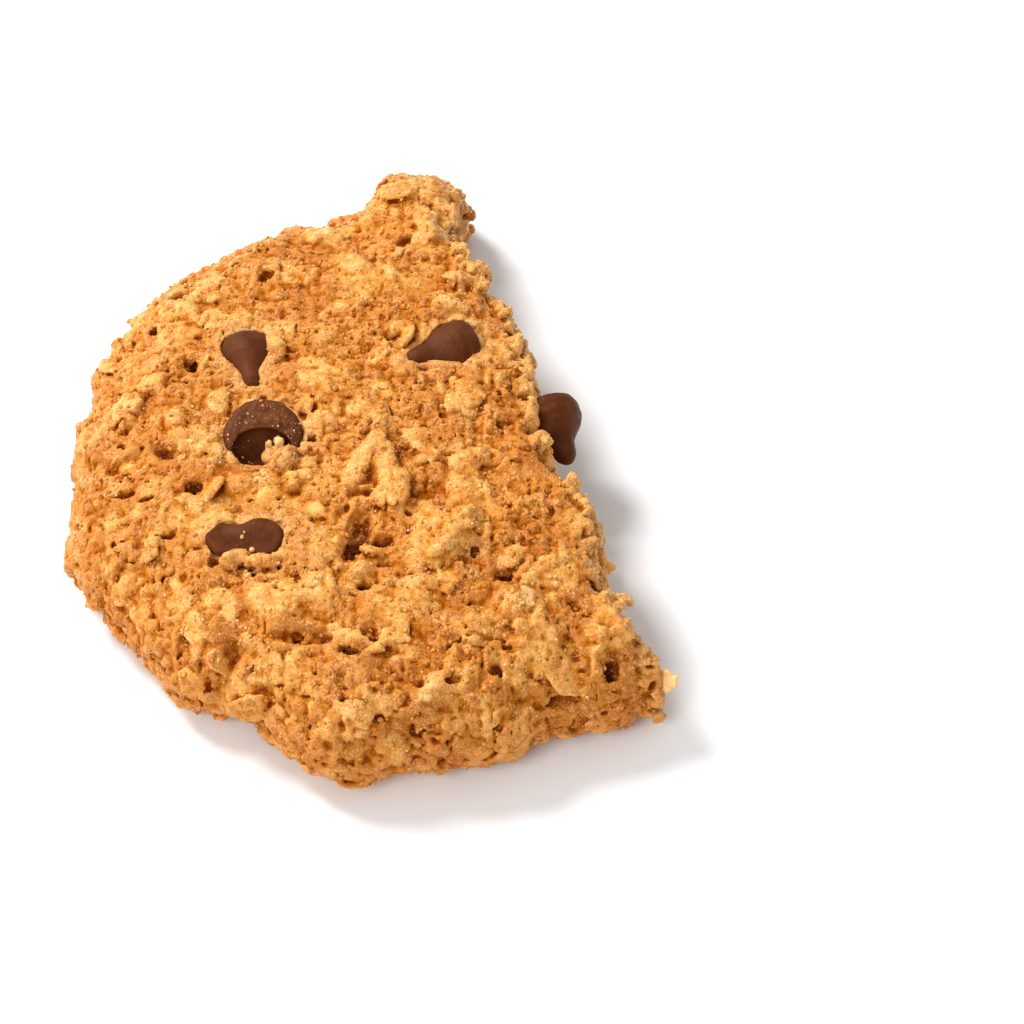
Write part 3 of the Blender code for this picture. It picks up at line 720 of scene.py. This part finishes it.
def with_straight_sides(places, field):
    """Cuts the sides where chip_3 is pressed against the dough."""
    for x, y, out_x, out_y in CHIP_3_SIDES:
        side = (places[..., 0] - x) * out_x + (places[..., 1] - y) * out_y
        field = smooth_larger(field, side.astype(np.float32), 0.15)
    return field


def cut_chip_pocket(grid, field, stain, uneven, laps, numbers):
    """Makes room for a drop, which the dough then touches or laps over. The pocket of a drop
    that shows its base is open."""
    _, _, rise, radius, length = numbers
    base = drop_base(numbers)
    index, places = grid.block(base, length + radius)
    gap = POCKET_GAP - 0.22 * ramp(uneven[index], 0.0, 0.7)
    for lift in POCKET_LIFTS if rise < -45.0 else POCKET_LIFTS[:1]:
        shape = drop_distance(places - (0.0, 0.0, lift), numbers)
        if numbers in (CHIPS["chip_3"], SECOND_LOBE):
            shape = with_straight_sides(places + base, shape)
        field[index] = smooth_larger(field[index], np.minimum(gap - shape, laps[index]), 0.12)
        stain[index] = np.maximum(stain[index], 1.0 - ramp(shape, 0.1, 2.4))


def cookie_field(grid):
    """The finished field, its smooth form, and the grids that colour the surface."""
    form, crumb, x, y, along = smooth_form(grid)
    relief, flake = relief_of_solids(grid, crumb, x, y, along)
    shelter = chip_shelter(x, y).astype(np.float32)[..., None]
    off_floor = ramp(grid.axes[2], FLAT_WITHIN, 1.6).astype(np.float32)
    field = form - (RELIEF_SHARE * relief - SHRINK) * shelter * off_floor
    calm = 1.0 - ramp(np.hypot((x - CALM[0]) / CALM[2], (y - CALM[1]) / CALM[3]), 0.6, 1.2)
    fine_share = (0.6 + 0.4 * shelter) * (1.0 - 0.5 * calm.astype(np.float32)[..., None])
    stamper = Stamper(grid, field, crumb, flake, RANDOM_SEED + 100)
    stamper.draw(stamper.flakes, DRAWN_FLAKES)
    stamper.draw(stamper.pebbles, RIM_PEBBLES)
    pale = np.zeros_like(field)
    for mark in SHOWN_OATS:
        stamper.set_in(mark, pale)
    laps = np.full_like(field, 9.0)
    for x, y, over, half_sizes, degrees in LAPS:
        for target in (field, laps):
            stamp(grid, target, over_crown(x, y, over), flat_axes(degrees), half_sizes, 0.2)
    add_shown_pits(grid, field)
    above_floor = ramp(grid.axes[2], 0.1, 0.7).astype(np.float32)
    field -= fine_relief(grid, crumb) * (1.0 - 0.6 * flake) * above_floor * fine_share

    stamper = Stamper(grid, field, crumb, flake, RANDOM_SEED + 101)
    stamper.draw(stamper.pebbles, FINE_PEBBLES)
    stamper.draw(stamper.pores, FINE_PORES)
    stain, uneven = np.zeros_like(field), grid.lumps(1.1, CHIP_SEED + 5)
    for numbers in (*CHIPS.values(), SECOND_LOBE):
        cut_chip_pocket(grid, field, stain, uneven, laps, numbers)
    dough_about = blurred((field < 0.0).astype(np.float32), THIN_REACH)
    field = smooth_larger(field, THIN_STEEPNESS * (THIN_SHARE - dough_about), 0.1)
    np.maximum(field, -grid.axes[2].astype(np.float32), out=field)
    return field, form, {"flake": flake, "crumb": crumb, "stain": stain, "pale": pale}


def mesh_from(name, points, faces):
    """A mesh of points in millimetres about the middle of the round, moved to the part's own frame."""
    points = (points + np.array((*ROUND_MIDDLE, 0.0))) * MM
    mesh = bpy.data.meshes.new(name)
    corners = faces.shape[1]
    mesh.vertices.add(len(points))
    mesh.vertices.foreach_set("co", points.astype(np.float32).ravel())
    mesh.loops.add(faces.size)
    mesh.loops.foreach_set("vertex_index", faces.astype(np.int32).ravel())
    mesh.polygons.add(len(faces))
    mesh.polygons.foreach_set("loop_start", np.arange(0, faces.size, corners, dtype=np.int32))
    mesh.update(calc_edges=True)
    mesh.validate()
    return mesh


def new_object(name, data):
    made = bpy.data.objects.new(name, data)
    bpy.context.scene.collection.objects.link(made)
    return made


def new_piece(name, points, faces):
    return new_object(name, mesh_from(name, points, faces))


def thin_out(target, most):
    target.data.calc_loop_triangles()
    modifier = target.modifiers.new("thin", "DECIMATE")
    modifier.ratio = most / len(target.data.loop_triangles)
    modifier.use_collapse_triangulate = True
    graph = bpy.context.evaluated_depsgraph_get()
    thinned = bpy.data.meshes.new_from_object(target.evaluated_get(graph))
    target.modifiers.clear()
    target.data = thinned


def points_of(mesh):
    """A mesh's points, in millimetres about the middle of the round."""
    points = np.empty(len(mesh.vertices) * 3, np.float32)
    mesh.vertices.foreach_get("co", points)
    return points.reshape(-1, 3) / MM - np.array((*ROUND_MIDDLE, 0.0))


def add_attribute(mesh, name, values):
    attribute = mesh.attributes.new(name, "FLOAT", "POINT")
    attribute.data.foreach_set("value", np.asarray(values, np.float32))


def finish_piece(piece, slot, *nodes):
    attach(piece, "root")
    if nodes:
        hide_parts(*nodes)
    piece.data.shade_smooth()


class Nodes:
    """Builds the nodes of a material on its Principled shader."""

    def __init__(self, name):
        self.material = bpy.data.materials.new(name)
        self.material.use_nodes = True
        self.tree = self.material.node_tree
        self.shader = self.tree.nodes["Principled BSDF"]
        coordinates = self.tree.nodes.new("ShaderNodeTexCoord")
        self.place = coordinates.outputs["Object"]

    def node(self, kind, inputs=(), **settings):
        made = self.tree.nodes.new(kind)
        for name, value in settings.items():
            setattr(made, name, value)
        for name, value in dict(inputs).items():
            self.put(value, made.inputs[name])
        return made

    def put(self, value, socket):
        if isinstance(value, bpy.types.NodeSocket):
            self.tree.links.new(value, socket)
        else:
            socket.default_value = value

    def attribute(self, name):
        return self.node("ShaderNodeAttribute", attribute_name=name).outputs["Fac"]

    def noise(self, size, detail=2.0, rough=0.5, twist=0.0):
        """Noise with features of this size in millimetres."""
        inputs = {"Vector": self.place, "Scale": 1.0 / (size * MM), "Detail": detail, "Roughness": rough}
        return self.node("ShaderNodeTexNoise", {**inputs, "Distortion": twist}).outputs["Fac"]

    def spread(self, value, low, high, to_low=0.0, to_high=1.0):
        inputs = {"Value": value, "From Min": low, "From Max": high, "To Min": to_low, "To Max": to_high}
        return self.node("ShaderNodeMapRange", inputs, interpolation_type="SMOOTHSTEP").outputs["Result"]

    def math(self, operation, *values, kind="ShaderNodeMath"):
        made = self.node(kind, operation=operation)
        for value, socket in zip(values, made.inputs):
            self.put(value, socket)
        return made.outputs[0]

    def times(self, first, second):
        return self.math("MULTIPLY", first, second)

    def mix(self, share, first, second, blend="MIX"):
        made = self.node("ShaderNodeMix", data_type="RGBA", blend_type=blend, clamp_factor=True)
        self.put(share, made.inputs["Factor"])
        self.put(first if not isinstance(first, tuple) else (*first, 1.0), made.inputs["A"])
        self.put(second if not isinstance(second, tuple) else (*second, 1.0), made.inputs["B"])
        return made.outputs["Result"]

    def vector(self, operation, *values):
        return self.math(operation, *values, kind="ShaderNodeVectorMath")

    def bump(self, height, strength, distance, under=None):
        inputs = {"Height": height, "Strength": strength, "Distance": distance * MM}
        made = self.node("ShaderNodeBump", inputs)
        if under is not None:
            self.put(under, made.inputs["Normal"])
        return made.outputs["Normal"]

    def set(self, **values):
        for name, value in values.items():
            if isinstance(value, tuple) and ("Color" in name or "Tint" in name):
                value = (*value, 1.0)
            self.put(value, self.shader.inputs[name.replace("_", " ")])
        return self.material


def dough_material():
    made = Nodes("baked_dough")
    cavity, valley, raised = (made.attribute(name) for name in ("cavity", "valley", "raised"))
    flake, crumb, browned, stain = (made.attribute(name) for name in ("flake", "crumb", "browned", "stain"))
    broad = made.noise(7.0, 3.0)
    patchy = made.noise(1.7, 3.0, 0.6)
    grainy = made.noise(0.62, 2.0, 0.6)
    fine = made.noise(0.21, 1.5)
    sand = made.node("ShaderNodeTexVoronoi", {"Vector": made.place, "Scale": 1.0 / (0.30 * MM)})
    crust = made.mix(made.spread(broad, 0.35, 0.68), CRUST_BROWN, CRUST_TAN)
    crust = made.mix(made.spread(patchy, 0.42, 0.66, 0.0, 0.6), crust, CRUST_PATCH)
    thin = made.spread(made.noise(2.2, 2.0, 0.5, 0.5), 0.54, 0.66, 0.0, 0.5)
    crust = made.mix(thin, crust, CRUST_THIN)
    dough = made.mix(crumb, crust, made.mix(made.spread(patchy, 0.35, 0.7), CRUMB_PALE, CRUMB_BROWN))
    fibres = made.noise(0.9, 3.0)
    oat = made.mix(made.spread(fibres, 0.35, 0.7), OAT_GOLD, OAT_BROWN)
    bare = made.mix(made.spread(fibres, 0.40, 0.66), BARE_OAT, BARE_OAT_GOLD)
    oat = made.mix(made.spread(made.attribute("pale"), 0.25, 1.0), oat, bare)
    smear = made.mix(made.spread(grainy, 0.4, 0.62), SMEAR_PALE, SMEAR_BROWN)
    sugary = made.spread(made.noise(2.3, 2.0), 0.40, 0.62, 0.05, 0.38)
    for share, *layer in (
        (made.spread(made.math("ADD", flake, made.math("SUBTRACT", patchy, 0.5)), 0.2, 0.9), oat),
        (made.times(browned, 0.45), RIM_BROWN),
        # Painted light: the higher a lump stands over the smooth form, the lighter gold it is made.
        (made.spread(raised, 0.0, 1.3, 0.0, 0.28), PAINTED_LIGHT_ON_RAISED),
        # Painted shade: darker brown where much dough stands about a point, in wide hollows.
        (made.spread(valley, 0.53, 0.68, 0.0, 0.55), PAINTED_VALLEY_SHADE),
        (made.times(stain, made.spread(patchy, 0.30, 0.60, 0.2, 0.8)), smear),
        (made.spread(grainy, 0.50, 0.72, 0.0, 0.35), GRAIN_BROWN),
        # Painted shade: pits and creases are tinted redder and then browned, as occlusion would shade them.
        (made.spread(cavity, 0.46, 0.60), PAINTED_CAVITY_SHADE_TINT, "MULTIPLY"),
        (made.spread(cavity, 0.57, 0.70, 0.0, 0.9), PAINTED_CAVITY_SHADE),
        # Painted shade: hollows deep under the smooth form are made dark brown.
        (made.spread(raised, -0.7, -2.0, 0.0, 0.6), PAINTED_DEEP_SHADE),
        (made.times(made.spread(fine, 0.54, 0.68), sugary), GRAIN_BRIGHT),
        (made.spread(fine, 0.44, 0.31, 0.0, 0.50), GRAIN_DARK),
    ):
        dough = made.mix(share, dough, *layer)
    grit = made.spread(flake, 0.35, 0.85, 1.0, 0.45)
    normal = made.bump(fine, grit, 0.16)
    normal = made.bump(sand.outputs["Distance"], made.times(grit, -0.6), 0.17, normal)
    normal = made.bump(grainy, made.times(grit, 0.6), 0.25, normal)
    rough = made.spread(sand.outputs["Color"], 0.30, 0.95, 0.65, 0.35)
    made.set(Subsurface_Weight=0.55, Subsurface_Radius=(1.0, 0.40, 0.12), Subsurface_Scale=0.45 * MM)
    made.set(Base_Color=dough, Roughness=rough, Normal=normal)
    gloss = made.spread(cavity, 0.47, 0.58, 0.22, 0.03)
    made.set(Specular_IOR_Level=gloss, Specular_Tint=(1.0, 0.80, 0.50))
    turned = made.vector("SUBTRACT", sand.outputs["Color"], (0.5, 0.5, 0.5))
    facets = made.vector("NORMALIZE", made.vector("MULTIPLY_ADD", turned, (1.0, 1.0, 1.0), normal))
    glaze, worn = made.spread(cavity, 0.47, 0.56, 0.50, 0.0), made.spread(patchy, 0.40, 0.60, 0.4, 1.0)
    return made.set(Coat_Weight=made.times(glaze, worn), Coat_Roughness=0.24, Coat_Normal=facets)


class Looks:
    """The grids that colour the dough, and all that lies on it."""

    def __init__(self, grid, field, form, painted):
        self.grid = grid
        solid = (field < 0.0).astype(np.float32)
        near, wide = round(0.6 / grid.step), round(1.9 / grid.step)
        # How much of the space about a point is dough, near and wide: high in hollows, where it paints
        # shade.
        self.values = {
            "cavity": blurred(solid, near),
            "valley": blurred(solid, wide),
            # The height over the smooth form: it paints light on lumps and shade in deep hollows.
            "raised": form,
            **painted,
        }
        self.material = dough_material()

    def put_on(self, mesh, points):
        for name, values in self.values.items():
            add_attribute(mesh, name, self.grid.read(values, points))
        out = np.hypot(points[:, 0], points[:, 1]) / COOKIE_RADIUS
        rim = ramp(-points[:, 2], -9.5, -4.0) * ramp(out, 0.8, 1.0)
        add_attribute(mesh, "browned", np.maximum(rim, ramp(-points[:, 2], -1.2, -0.2)))
        mesh.materials.clear()
        mesh.materials.append(self.material)


def cookie_pieces(looks, points, faces):
    """The dough, in two pieces that meet along a line with the same points and normals."""
    whole = new_piece("whole", points, faces)
    thin_out(whole, MOST_TRIANGLES)
    mesh = whole.data
    points = points_of(mesh)
    triangles = np.empty(len(mesh.polygons) * 3, np.int32)
    mesh.polygons.foreach_get("vertices", triangles)
    triangles = triangles.reshape(-1, 3)
    normals = np.empty(len(mesh.vertices) * 3, np.float32)
    mesh.vertices.foreach_get("normal", normals)
    normals = normals.reshape(-1, 3)
    bpy.data.objects.remove(whole)
    near = points[triangles][:, :, 1].mean(axis=1) < np.median(points[:, 1])
    for name, chosen in (("dough_near", near), ("dough_far", ~near)):
        used, index = np.unique(triangles[chosen], return_inverse=True)
        piece = new_piece(name, points[used], index.reshape(-1, 3))
        looks.put_on(piece.data, points[used])
        finish_piece(piece, "baked_dough", "cookie")
        piece.data.normals_split_custom_set_from_vertices(normals[used])


def icosahedron():
    golden = (1.0 + math.sqrt(5.0)) / 2.0
    points = []
    for first, second in itertools.product((-1.0, 1.0), (-golden, golden)):
        points += [(0.0, first, second), (first, second, 0.0), (second, 0.0, first)]
    points = np.array(points)
    near = np.linalg.norm(points[:, None] - points[None], axis=-1) < 2.1
    threes = itertools.combinations(range(12), 3)
    faces = [three for three in threes if all(near[a, b] for a, b in itertools.combinations(three, 2))]
    faces = [face if np.linalg.det(points[list(face)]) > 0.0 else face[::-1] for face in faces]
    return points / math.hypot(1.0, golden), np.array(faces)


def random_turns(count, rng):
    """Turns spread evenly over all directions."""
    turns = rng.normal(size=(count, 4))
    w, x, y, z = turns.T / np.linalg.norm(turns, axis=1)
    return np.stack([
        1 - 2 * (y * y + z * z), 2 * (x * y - z * w), 2 * (x * z + y * w),
        2 * (x * y + z * w), 1 - 2 * (x * x + z * z), 2 * (y * z - x * w),
        2 * (x * z - y * w), 2 * (y * z + x * w), 1 - 2 * (x * x + y * y),
    ], axis=1).reshape(-1, 3, 3)


def scattered(shape, middles, sizes, slimness, rng):
    """Copies of a small shape, each turned and stretched its own way, as one mesh."""
    points, faces = shape
    stretched = points[None] * sizes[:, None, None] * rng.uniform(*slimness, (len(middles), 1, 3))
    placed = np.einsum("npj,nkj->npk", stretched, random_turns(len(middles), rng)) + middles[:, None]
    starts = np.arange(len(middles)) * len(points)
    return placed.reshape(-1, 3), (faces[None] + starts[:, None, None]).reshape(-1, 3)


def joined(parts):
    starts = np.cumsum([0, *(len(points) for points, _ in parts[:-1])])
    faces = [faces + start for (_, faces), start in zip(parts, starts)]
    return np.concatenate([points for points, _ in parts]), np.concatenate(faces)


def grain_piece(looks, scatter):
    """Loose and half sunk grains, fewer on the rim."""
    rng, height = scatter.rng, scatter.points[:, 2]
    common = 0.25 + 0.75 * ramp(height, 5.0, 10.0)
    fits = (scatter.shelter > 0.3) & (height > 0.9) & (rng.random(len(height)) < common)
    chosen = rng.choice(np.flatnonzero(fits), GRAINS, replace=False)
    sizes = 0.09 + 0.24 * rng.random(GRAINS) ** 2.5
    lifts = (sizes * rng.uniform(-0.4, 0.3, GRAINS))[:, None]
    middles = scatter.points[chosen] + scatter.normals[chosen] * lifts
    points, faces = scattered(icosahedron(), middles, sizes, (0.6, 1.2), rng)
    piece = new_piece("crumb_grains", points, faces)
    looks.put_on(piece.data, points)
    finish_piece(piece, "baked_dough")


def sugar_piece(gathered, scatter):
    """Tiny bright crystals on the crust, gathered in places."""
    rng = scatter.rng
    common = ramp(gathered, -0.1, 0.6) + 0.08
    fits = (scatter.normals[:, 2] > 0.1) & (scatter.points[:, 2] > 1.5) & (rng.random(len(common)) < common)
    chosen = rng.choice(np.flatnonzero(fits), CRYSTALS, replace=False)
    sizes = 0.05 + 0.09 * rng.random(CRYSTALS) ** 2
    middles = scatter.points[chosen] + scatter.normals[chosen] * (0.4 * sizes)[:, None]
    corners = np.array([(1, 0, 0), (-1, 0, 0), (0, 1, 0), (0, -1, 0), (0, 0, 1), (0, 0, -1)], float)
    sides = [(0, 2, 4), (2, 1, 4), (1, 3, 4), (3, 0, 4), (2, 0, 5), (1, 2, 5), (3, 1, 5), (0, 3, 5)]
    points, faces = scattered((corners, np.array(sides)), middles, sizes, (0.7, 1.2), rng)
    piece = new_piece("sugar_crystals", points, faces)
    made = Nodes("sugar")
    colour = made.mix(made.spread(made.noise(1.5), 0.35, 0.65), SUGAR_AMBER, SUGAR_PALE)
    made.set(Base_Color=colour, Roughness=0.35, Specular_IOR_Level=0.4, Specular_Tint=(1.0, 0.80, 0.55))
    piece.data.materials.append(made.material)
    finish_piece(piece, "baked_dough")
    piece.data.shade_flat()


def oat_flake(length, width, thick, rng):
    """A rolled oat: a thin oval with ragged edges, a crease along it and a slight curl."""
    rings, sides = 7, 26
    turns = np.linspace(0.0, 2.0 * math.pi, sides, endpoint=False)
    waves = (rng.uniform(0.02, 0.09) * np.sin(n * turns + rng.uniform(0, 6.3)) for n in (2, 3, 5, 8))
    ragged = 1.0 + sum(waves)
    curl, twist = rng.uniform(-0.05, 0.07), rng.uniform(-0.04, 0.04)

    def place(local):
        x, y, z = local.T
        out = np.hypot(x, y)
        edge = np.interp(np.arctan2(y, x) % (2.0 * math.pi), [*turns, 2.0 * math.pi], [*ragged, ragged[0]])
        x, y = x * edge * length / 2.0, y * edge * width / 2.0
        crease = -0.35 * thick * np.exp(-((y / (0.12 * width)) ** 2)) * (out < 0.9)
        fibre = 0.10 * thick * np.sin(y / width * 34.0)
        z = z * thick / 2.0 + np.where(z > 0.0, crease + fibre, 0.0)
        return np.stack([x, y, z + curl * x * x + twist * x * y], axis=1)

    up = [(math.cos(a), math.sin(a)) for a in np.linspace(-math.pi / 2.0, math.pi / 2.0, rings)]
    inner = [(share, 1.0) for share in (0.75, 0.5, 0.25)]
    outline = [(0.0, -1.0), (0.5, -1.0), *((0.8 + 0.2 * out, high) for out, high in up), *inner, (0.0, 1.0)]
    return turned_rings(outline, sides, place)


def oat_material():
    made = Nodes("oat")
    fibres = made.noise(0.5, 3.0, 0.6, 0.4)
    colour = made.mix(made.attribute("pale"), FLAKE_GOLD, FLAKE_PALE)
    colour = made.mix(made.spread(fibres, 0.45, 0.66, 0.0, 0.6), colour, FLAKE_BROWN)
    normal = made.bump(fibres, 0.5, 0.15)
    return made.set(Base_Color=colour, Roughness=0.55, Normal=normal, Specular_IOR_Level=0.35)


def oat_piece(scatter):
    """Bare oat flakes that stand out of the break."""
    rng = scatter.rng
    parts, paleness = [], []
    for middle, normal in scatter.places(BARE_OATS, on_crumb=True, lowest=2.0, highest=8.0):
        length = rng.uniform(2.0, 3.8)
        axes = scatter.leaning(normal, 0.4)
        width, pale = length * rng.uniform(0.45, 0.7), rng.uniform(0.1, 0.7)
        points, faces = oat_flake(length, width, rng.uniform(0.35, 0.5), rng)
        parts.append((points @ axes + (middle - normal * 0.4), faces))
        paleness.append(np.full(len(points), pale))
    points, faces = joined(parts)
    points[:, 2] = np.maximum(points[:, 2], 0.02)
    piece = new_piece("bare_oats", points, faces)
    add_attribute(piece.data, "pale", np.concatenate(paleness))
    piece.data.materials.append(oat_material())
    finish_piece(piece, "baked_dough")


def turned_rings(rings, sides, place):
    """Points and faces through rings, each (radius, height), from a pole to a pole; three-sided faces."""
    turns = np.linspace(0.0, 2.0 * math.pi, sides, endpoint=False)
    points = [place(np.array([[0.0, 0.0, rings[0][1]]]))]
    for radius, height in rings[1:-1]:
        ring = [radius * np.cos(turns), radius * np.sin(turns), np.full(sides, height)]
        points.append(place(np.stack(ring, 1)))
    points.append(place(np.array([[0.0, 0.0, rings[-1][1]]])))
    points = np.concatenate(points)
    side = np.arange(sides)
    after = (side + 1) % sides
    last = len(points) - 1
    faces = [np.stack([np.zeros(sides, int), 1 + after, 1 + side], 1)]
    for ring in range(len(rings) - 3):
        start, end = 1 + ring * sides, 1 + (ring + 1) * sides
        faces.append(np.stack([start + side, start + after, end + after], 1))
        faces.append(np.stack([start + side, end + after, end + side], 1))
    start = 1 + (len(rings) - 3) * sides
    faces.append(np.stack([start + side, start + after, np.full(sides, last)], 1))
    return points, np.concatenate(faces)


def chocolate_material():
    made = Nodes("chocolate")
    cloud = made.noise(1.8, 4.0, 0.6)
    dull = made.noise(0.5, 4.0, 0.7)
    colour = made.mix(made.spread(cloud, 0.38, 0.66), CHOCOLATE_DARK, CHOCOLATE_LIGHT)
    bloom = made.times(made.attribute("bloom"), made.spread(dull, 0.42, 0.66))
    colour = made.mix(made.times(bloom, 0.55), colour, BLOOM)
    colour = made.mix(made.spread(made.noise(0.30, 3.0), 0.66, 0.74, 0.0, 0.5), colour, CHOCOLATE_FLECK)
    normal = made.bump(made.noise(0.25, 2.0), 0.35, 0.08)
    normal = made.bump(dull, 0.25, 0.2, normal)
    rough = made.spread(cloud, 0.3, 0.7, 0.46, 0.62)
    made.set(Specular_IOR_Level=0.12, Specular_Tint=(1.0, 0.75, 0.55))
    return made.set(Base_Color=colour, Roughness=rough, Normal=normal)


def chip_field(grid, name, numbers):
    """Distances to a chip, and how bloomed its chocolate is."""
    base = drop_base(numbers)
    places = np.stack(np.meshgrid(*grid.axes, indexing="ij"), axis=-1)
    field = drop_distance(places - base, numbers)
    up = (places - base) @ drop_axes(*numbers[1:3])[:, 2]
    bloom = np.zeros_like(field)
    if name == "chip_3":
        lobe = drop_distance(places - drop_base(SECOND_LOBE), SECOND_LOBE)
        field = -smooth_larger(-field, -lobe, 0.35)
        middle, half_sizes = LOBE_BRIDGE
        bridge = ellipsoid(places - over_crown(*middle), np.array(half_sizes))
        field = -smooth_larger(-field, -bridge.astype(np.float32), 0.5)
        field = with_straight_sides(places, field + 0.14 - 0.26 * grid.lumps(1.9, CHIP_SEED + 6))
    field -= 0.10 * grid.lumps(2.3, CHIP_SEED) + 0.05 * grid.lumps(0.9, CHIP_SEED + 1)
    if name == "chip_2":
        on_base = (1.0 - ramp(up, 0.1, 0.9)).astype(np.float32)
        uneven = 0.16 * grid.cobbles(0.8, CHIP_SEED + 2) + 0.10 * grid.cobbles(0.45, CHIP_SEED + 3)
        field -= on_base * (uneven - 0.06)
        middle, half_sizes = BASE_HOLLOW
        hollow = ellipsoid(places - over_crown(*middle), np.array(half_sizes))
        hollow = hollow.astype(np.float32) - 0.14 - 0.10 * grid.lumps(1.1, CHIP_SEED + 4)
        field = smooth_larger(field, -hollow, 0.06)
        bloom = on_base * ramp(hollow, 0.0, 0.5)
    return field, bloom


def chip_crumbs(dough, grids, rng):
    """Crumbs that lie on the chips, as shown, and a dusting of tiny ones on the rough base of chip_2."""
    middles, sizes = [], []
    for x, y, radius in SHOWN_CRUMBS:
        top = max(top_of(*pair, x, y) for pair in (dough, *grids.values()) if pair[0].holds(x, y))
        knobs = 4 if radius > 0.3 else 1
        spread, share = (0.26, 0.85) if knobs > 1 else (0.0, 1.0)
        middles.extend((x, y, top + 0.5 * radius) + rng.normal(0.0, spread * radius, (knobs, 3)))
        sizes.extend(np.full(knobs, share * radius))
    grid, field = grids["chip_2"]
    points, faces = grid.surface(field)
    (x, y, _), (reach, _, _) = BASE_HOLLOW
    near_edge = 1.0 - ramp(np.abs(np.hypot(points[:, 0] - x, points[:, 1] - y) / reach - 1.05), 0.1, 0.5)
    common = (0.12 + near_edge) * (points[:, 1] > y)
    fits = np.flatnonzero((normals_of(points, faces)[:, 2] > 0.5) & (rng.random(len(points)) < common))
    middles.extend(points[rng.choice(fits, DUST)])
    sizes.extend(0.035 + 0.08 * rng.random(DUST) ** 3)
    points, faces = scattered(icosahedron(), np.array(middles), np.array(sizes), (0.7, 1.15), rng)
    piece = new_piece("chip_crumbs", points, faces)
    made = Nodes("loose_crumbs")
    patchy = made.spread(made.noise(0.7, 3.0, 0.6), 0.40, 0.60)
    colour = made.mix(patchy, LOOSE_PALE, LOOSE_BROWN)
    normal = made.bump(made.noise(0.2, 2.0), 0.8, 0.12)
    piece.data.materials.append(made.set(Base_Color=colour, Roughness=0.6, Normal=normal))
    finish_piece(piece, "baked_dough")


def chip_pieces(dough, rng):
    chocolate = chocolate_material()
    grids = {}
    for name, numbers in CHIPS.items():
        shapes = (numbers, SECOND_LOBE) if name == "chip_3" else (numbers,)
        ends = []
        for shape in shapes:
            base, way = drop_base(shape), drop_axes(*shape[1:3])[:, 2]
            ends += [base, base + way * shape[4]]
        reach = numbers[3] + 0.6
        grid = Grid(np.min(ends, axis=0) - reach, np.max(ends, axis=0) + reach, CHIP_STEP)
        field, bloom = chip_field(grid, name, numbers)
        points, faces = largest_island(*grid.surface(field))
        piece = new_piece(name + "_chocolate", points, faces)
        add_attribute(piece.data, "bloom", grid.read(bloom, points))
        piece.data.materials.append(chocolate)
        finish_piece(piece, "chocolate", name)
        grids[name] = (grid, field)
    chip_crumbs(dough, grids, rng)


def look_back(placed, way, away):
    """Moves a light or the camera out along a way, and turns it to look back."""
    placed.location = placed.location + way * away
    placed.rotation_euler = way.to_track_quat("Z", "Y").to_euler()


def stage_and_lights():
    side = FLOOR_HALF
    mesh = bpy.data.meshes.new("floor")
    corners = [(-side, -side, 0.0), (side, -side, 0.0), (side, side, 0.0), (-side, side, 0.0)]
    mesh.from_pydata(corners, [], [(0, 1, 2, 3)])
    floor = new_object("floor", mesh)
    made = Nodes("floor")
    mesh.materials.append(made.set(Base_Color=FLOOR_GREY, Roughness=0.9, Specular_IOR_Level=0.1))
    floor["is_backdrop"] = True

    world = bpy.data.worlds.new("studio")
    world.use_nodes = True
    background = world.node_tree.nodes["Background"].inputs
    background["Color"].default_value = (1.0, 1.0, 1.0, 1.0)
    background["Strength"].default_value = LIGHT_ALL_ROUND
    bpy.context.scene.world = world

    for name, power, across, heading, rise, away in LIGHTS:
        light = bpy.data.lights.new(name, "AREA")
        light.energy, light.shape, light.size = power, "DISK", across
        look_back(new_object(name, light), way_to(heading, rise), away)


def camera():
    data = bpy.data.cameras.new("camera")
    data.lens, data.sensor_width = VIEW_LENS, 36.0
    made = new_object("camera", data)
    made.location = Vector(VIEW_TARGET) * MM
    look_back(made, way_to(-90.0, VIEW_RISE), VIEW_DISTANCE * MM)
    bpy.context.scene.camera = made


camera()
stage_and_lights()
bpy.context.scene.view_settings.view_transform = "Standard"

dough_grid = Grid(DOUGH_LOW, DOUGH_HIGH, DOUGH_STEP)
dough, smooth, painted = cookie_field(dough_grid)
dough_looks = Looks(dough_grid, dough, smooth, painted)
cookie_pieces(dough_looks, *largest_island(*dough_grid.surface(dough)))

scatter = Stamper(dough_grid, dough, painted["crumb"], painted["flake"], RANDOM_SEED + 200)
grain_piece(dough_looks, scatter)
gathered = dough_grid.read(dough_grid.lumps(2.6, SUGAR_SEED), scatter.points)
sugar_piece(gathered, scatter)
oat_piece(scatter)
chip_pieces((dough_grid, dough), scatter.rng)

boxes = {"solids": solid_box, "looks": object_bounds()}
{name: [list(corner) for corner in box] for name, box in boxes.items()}
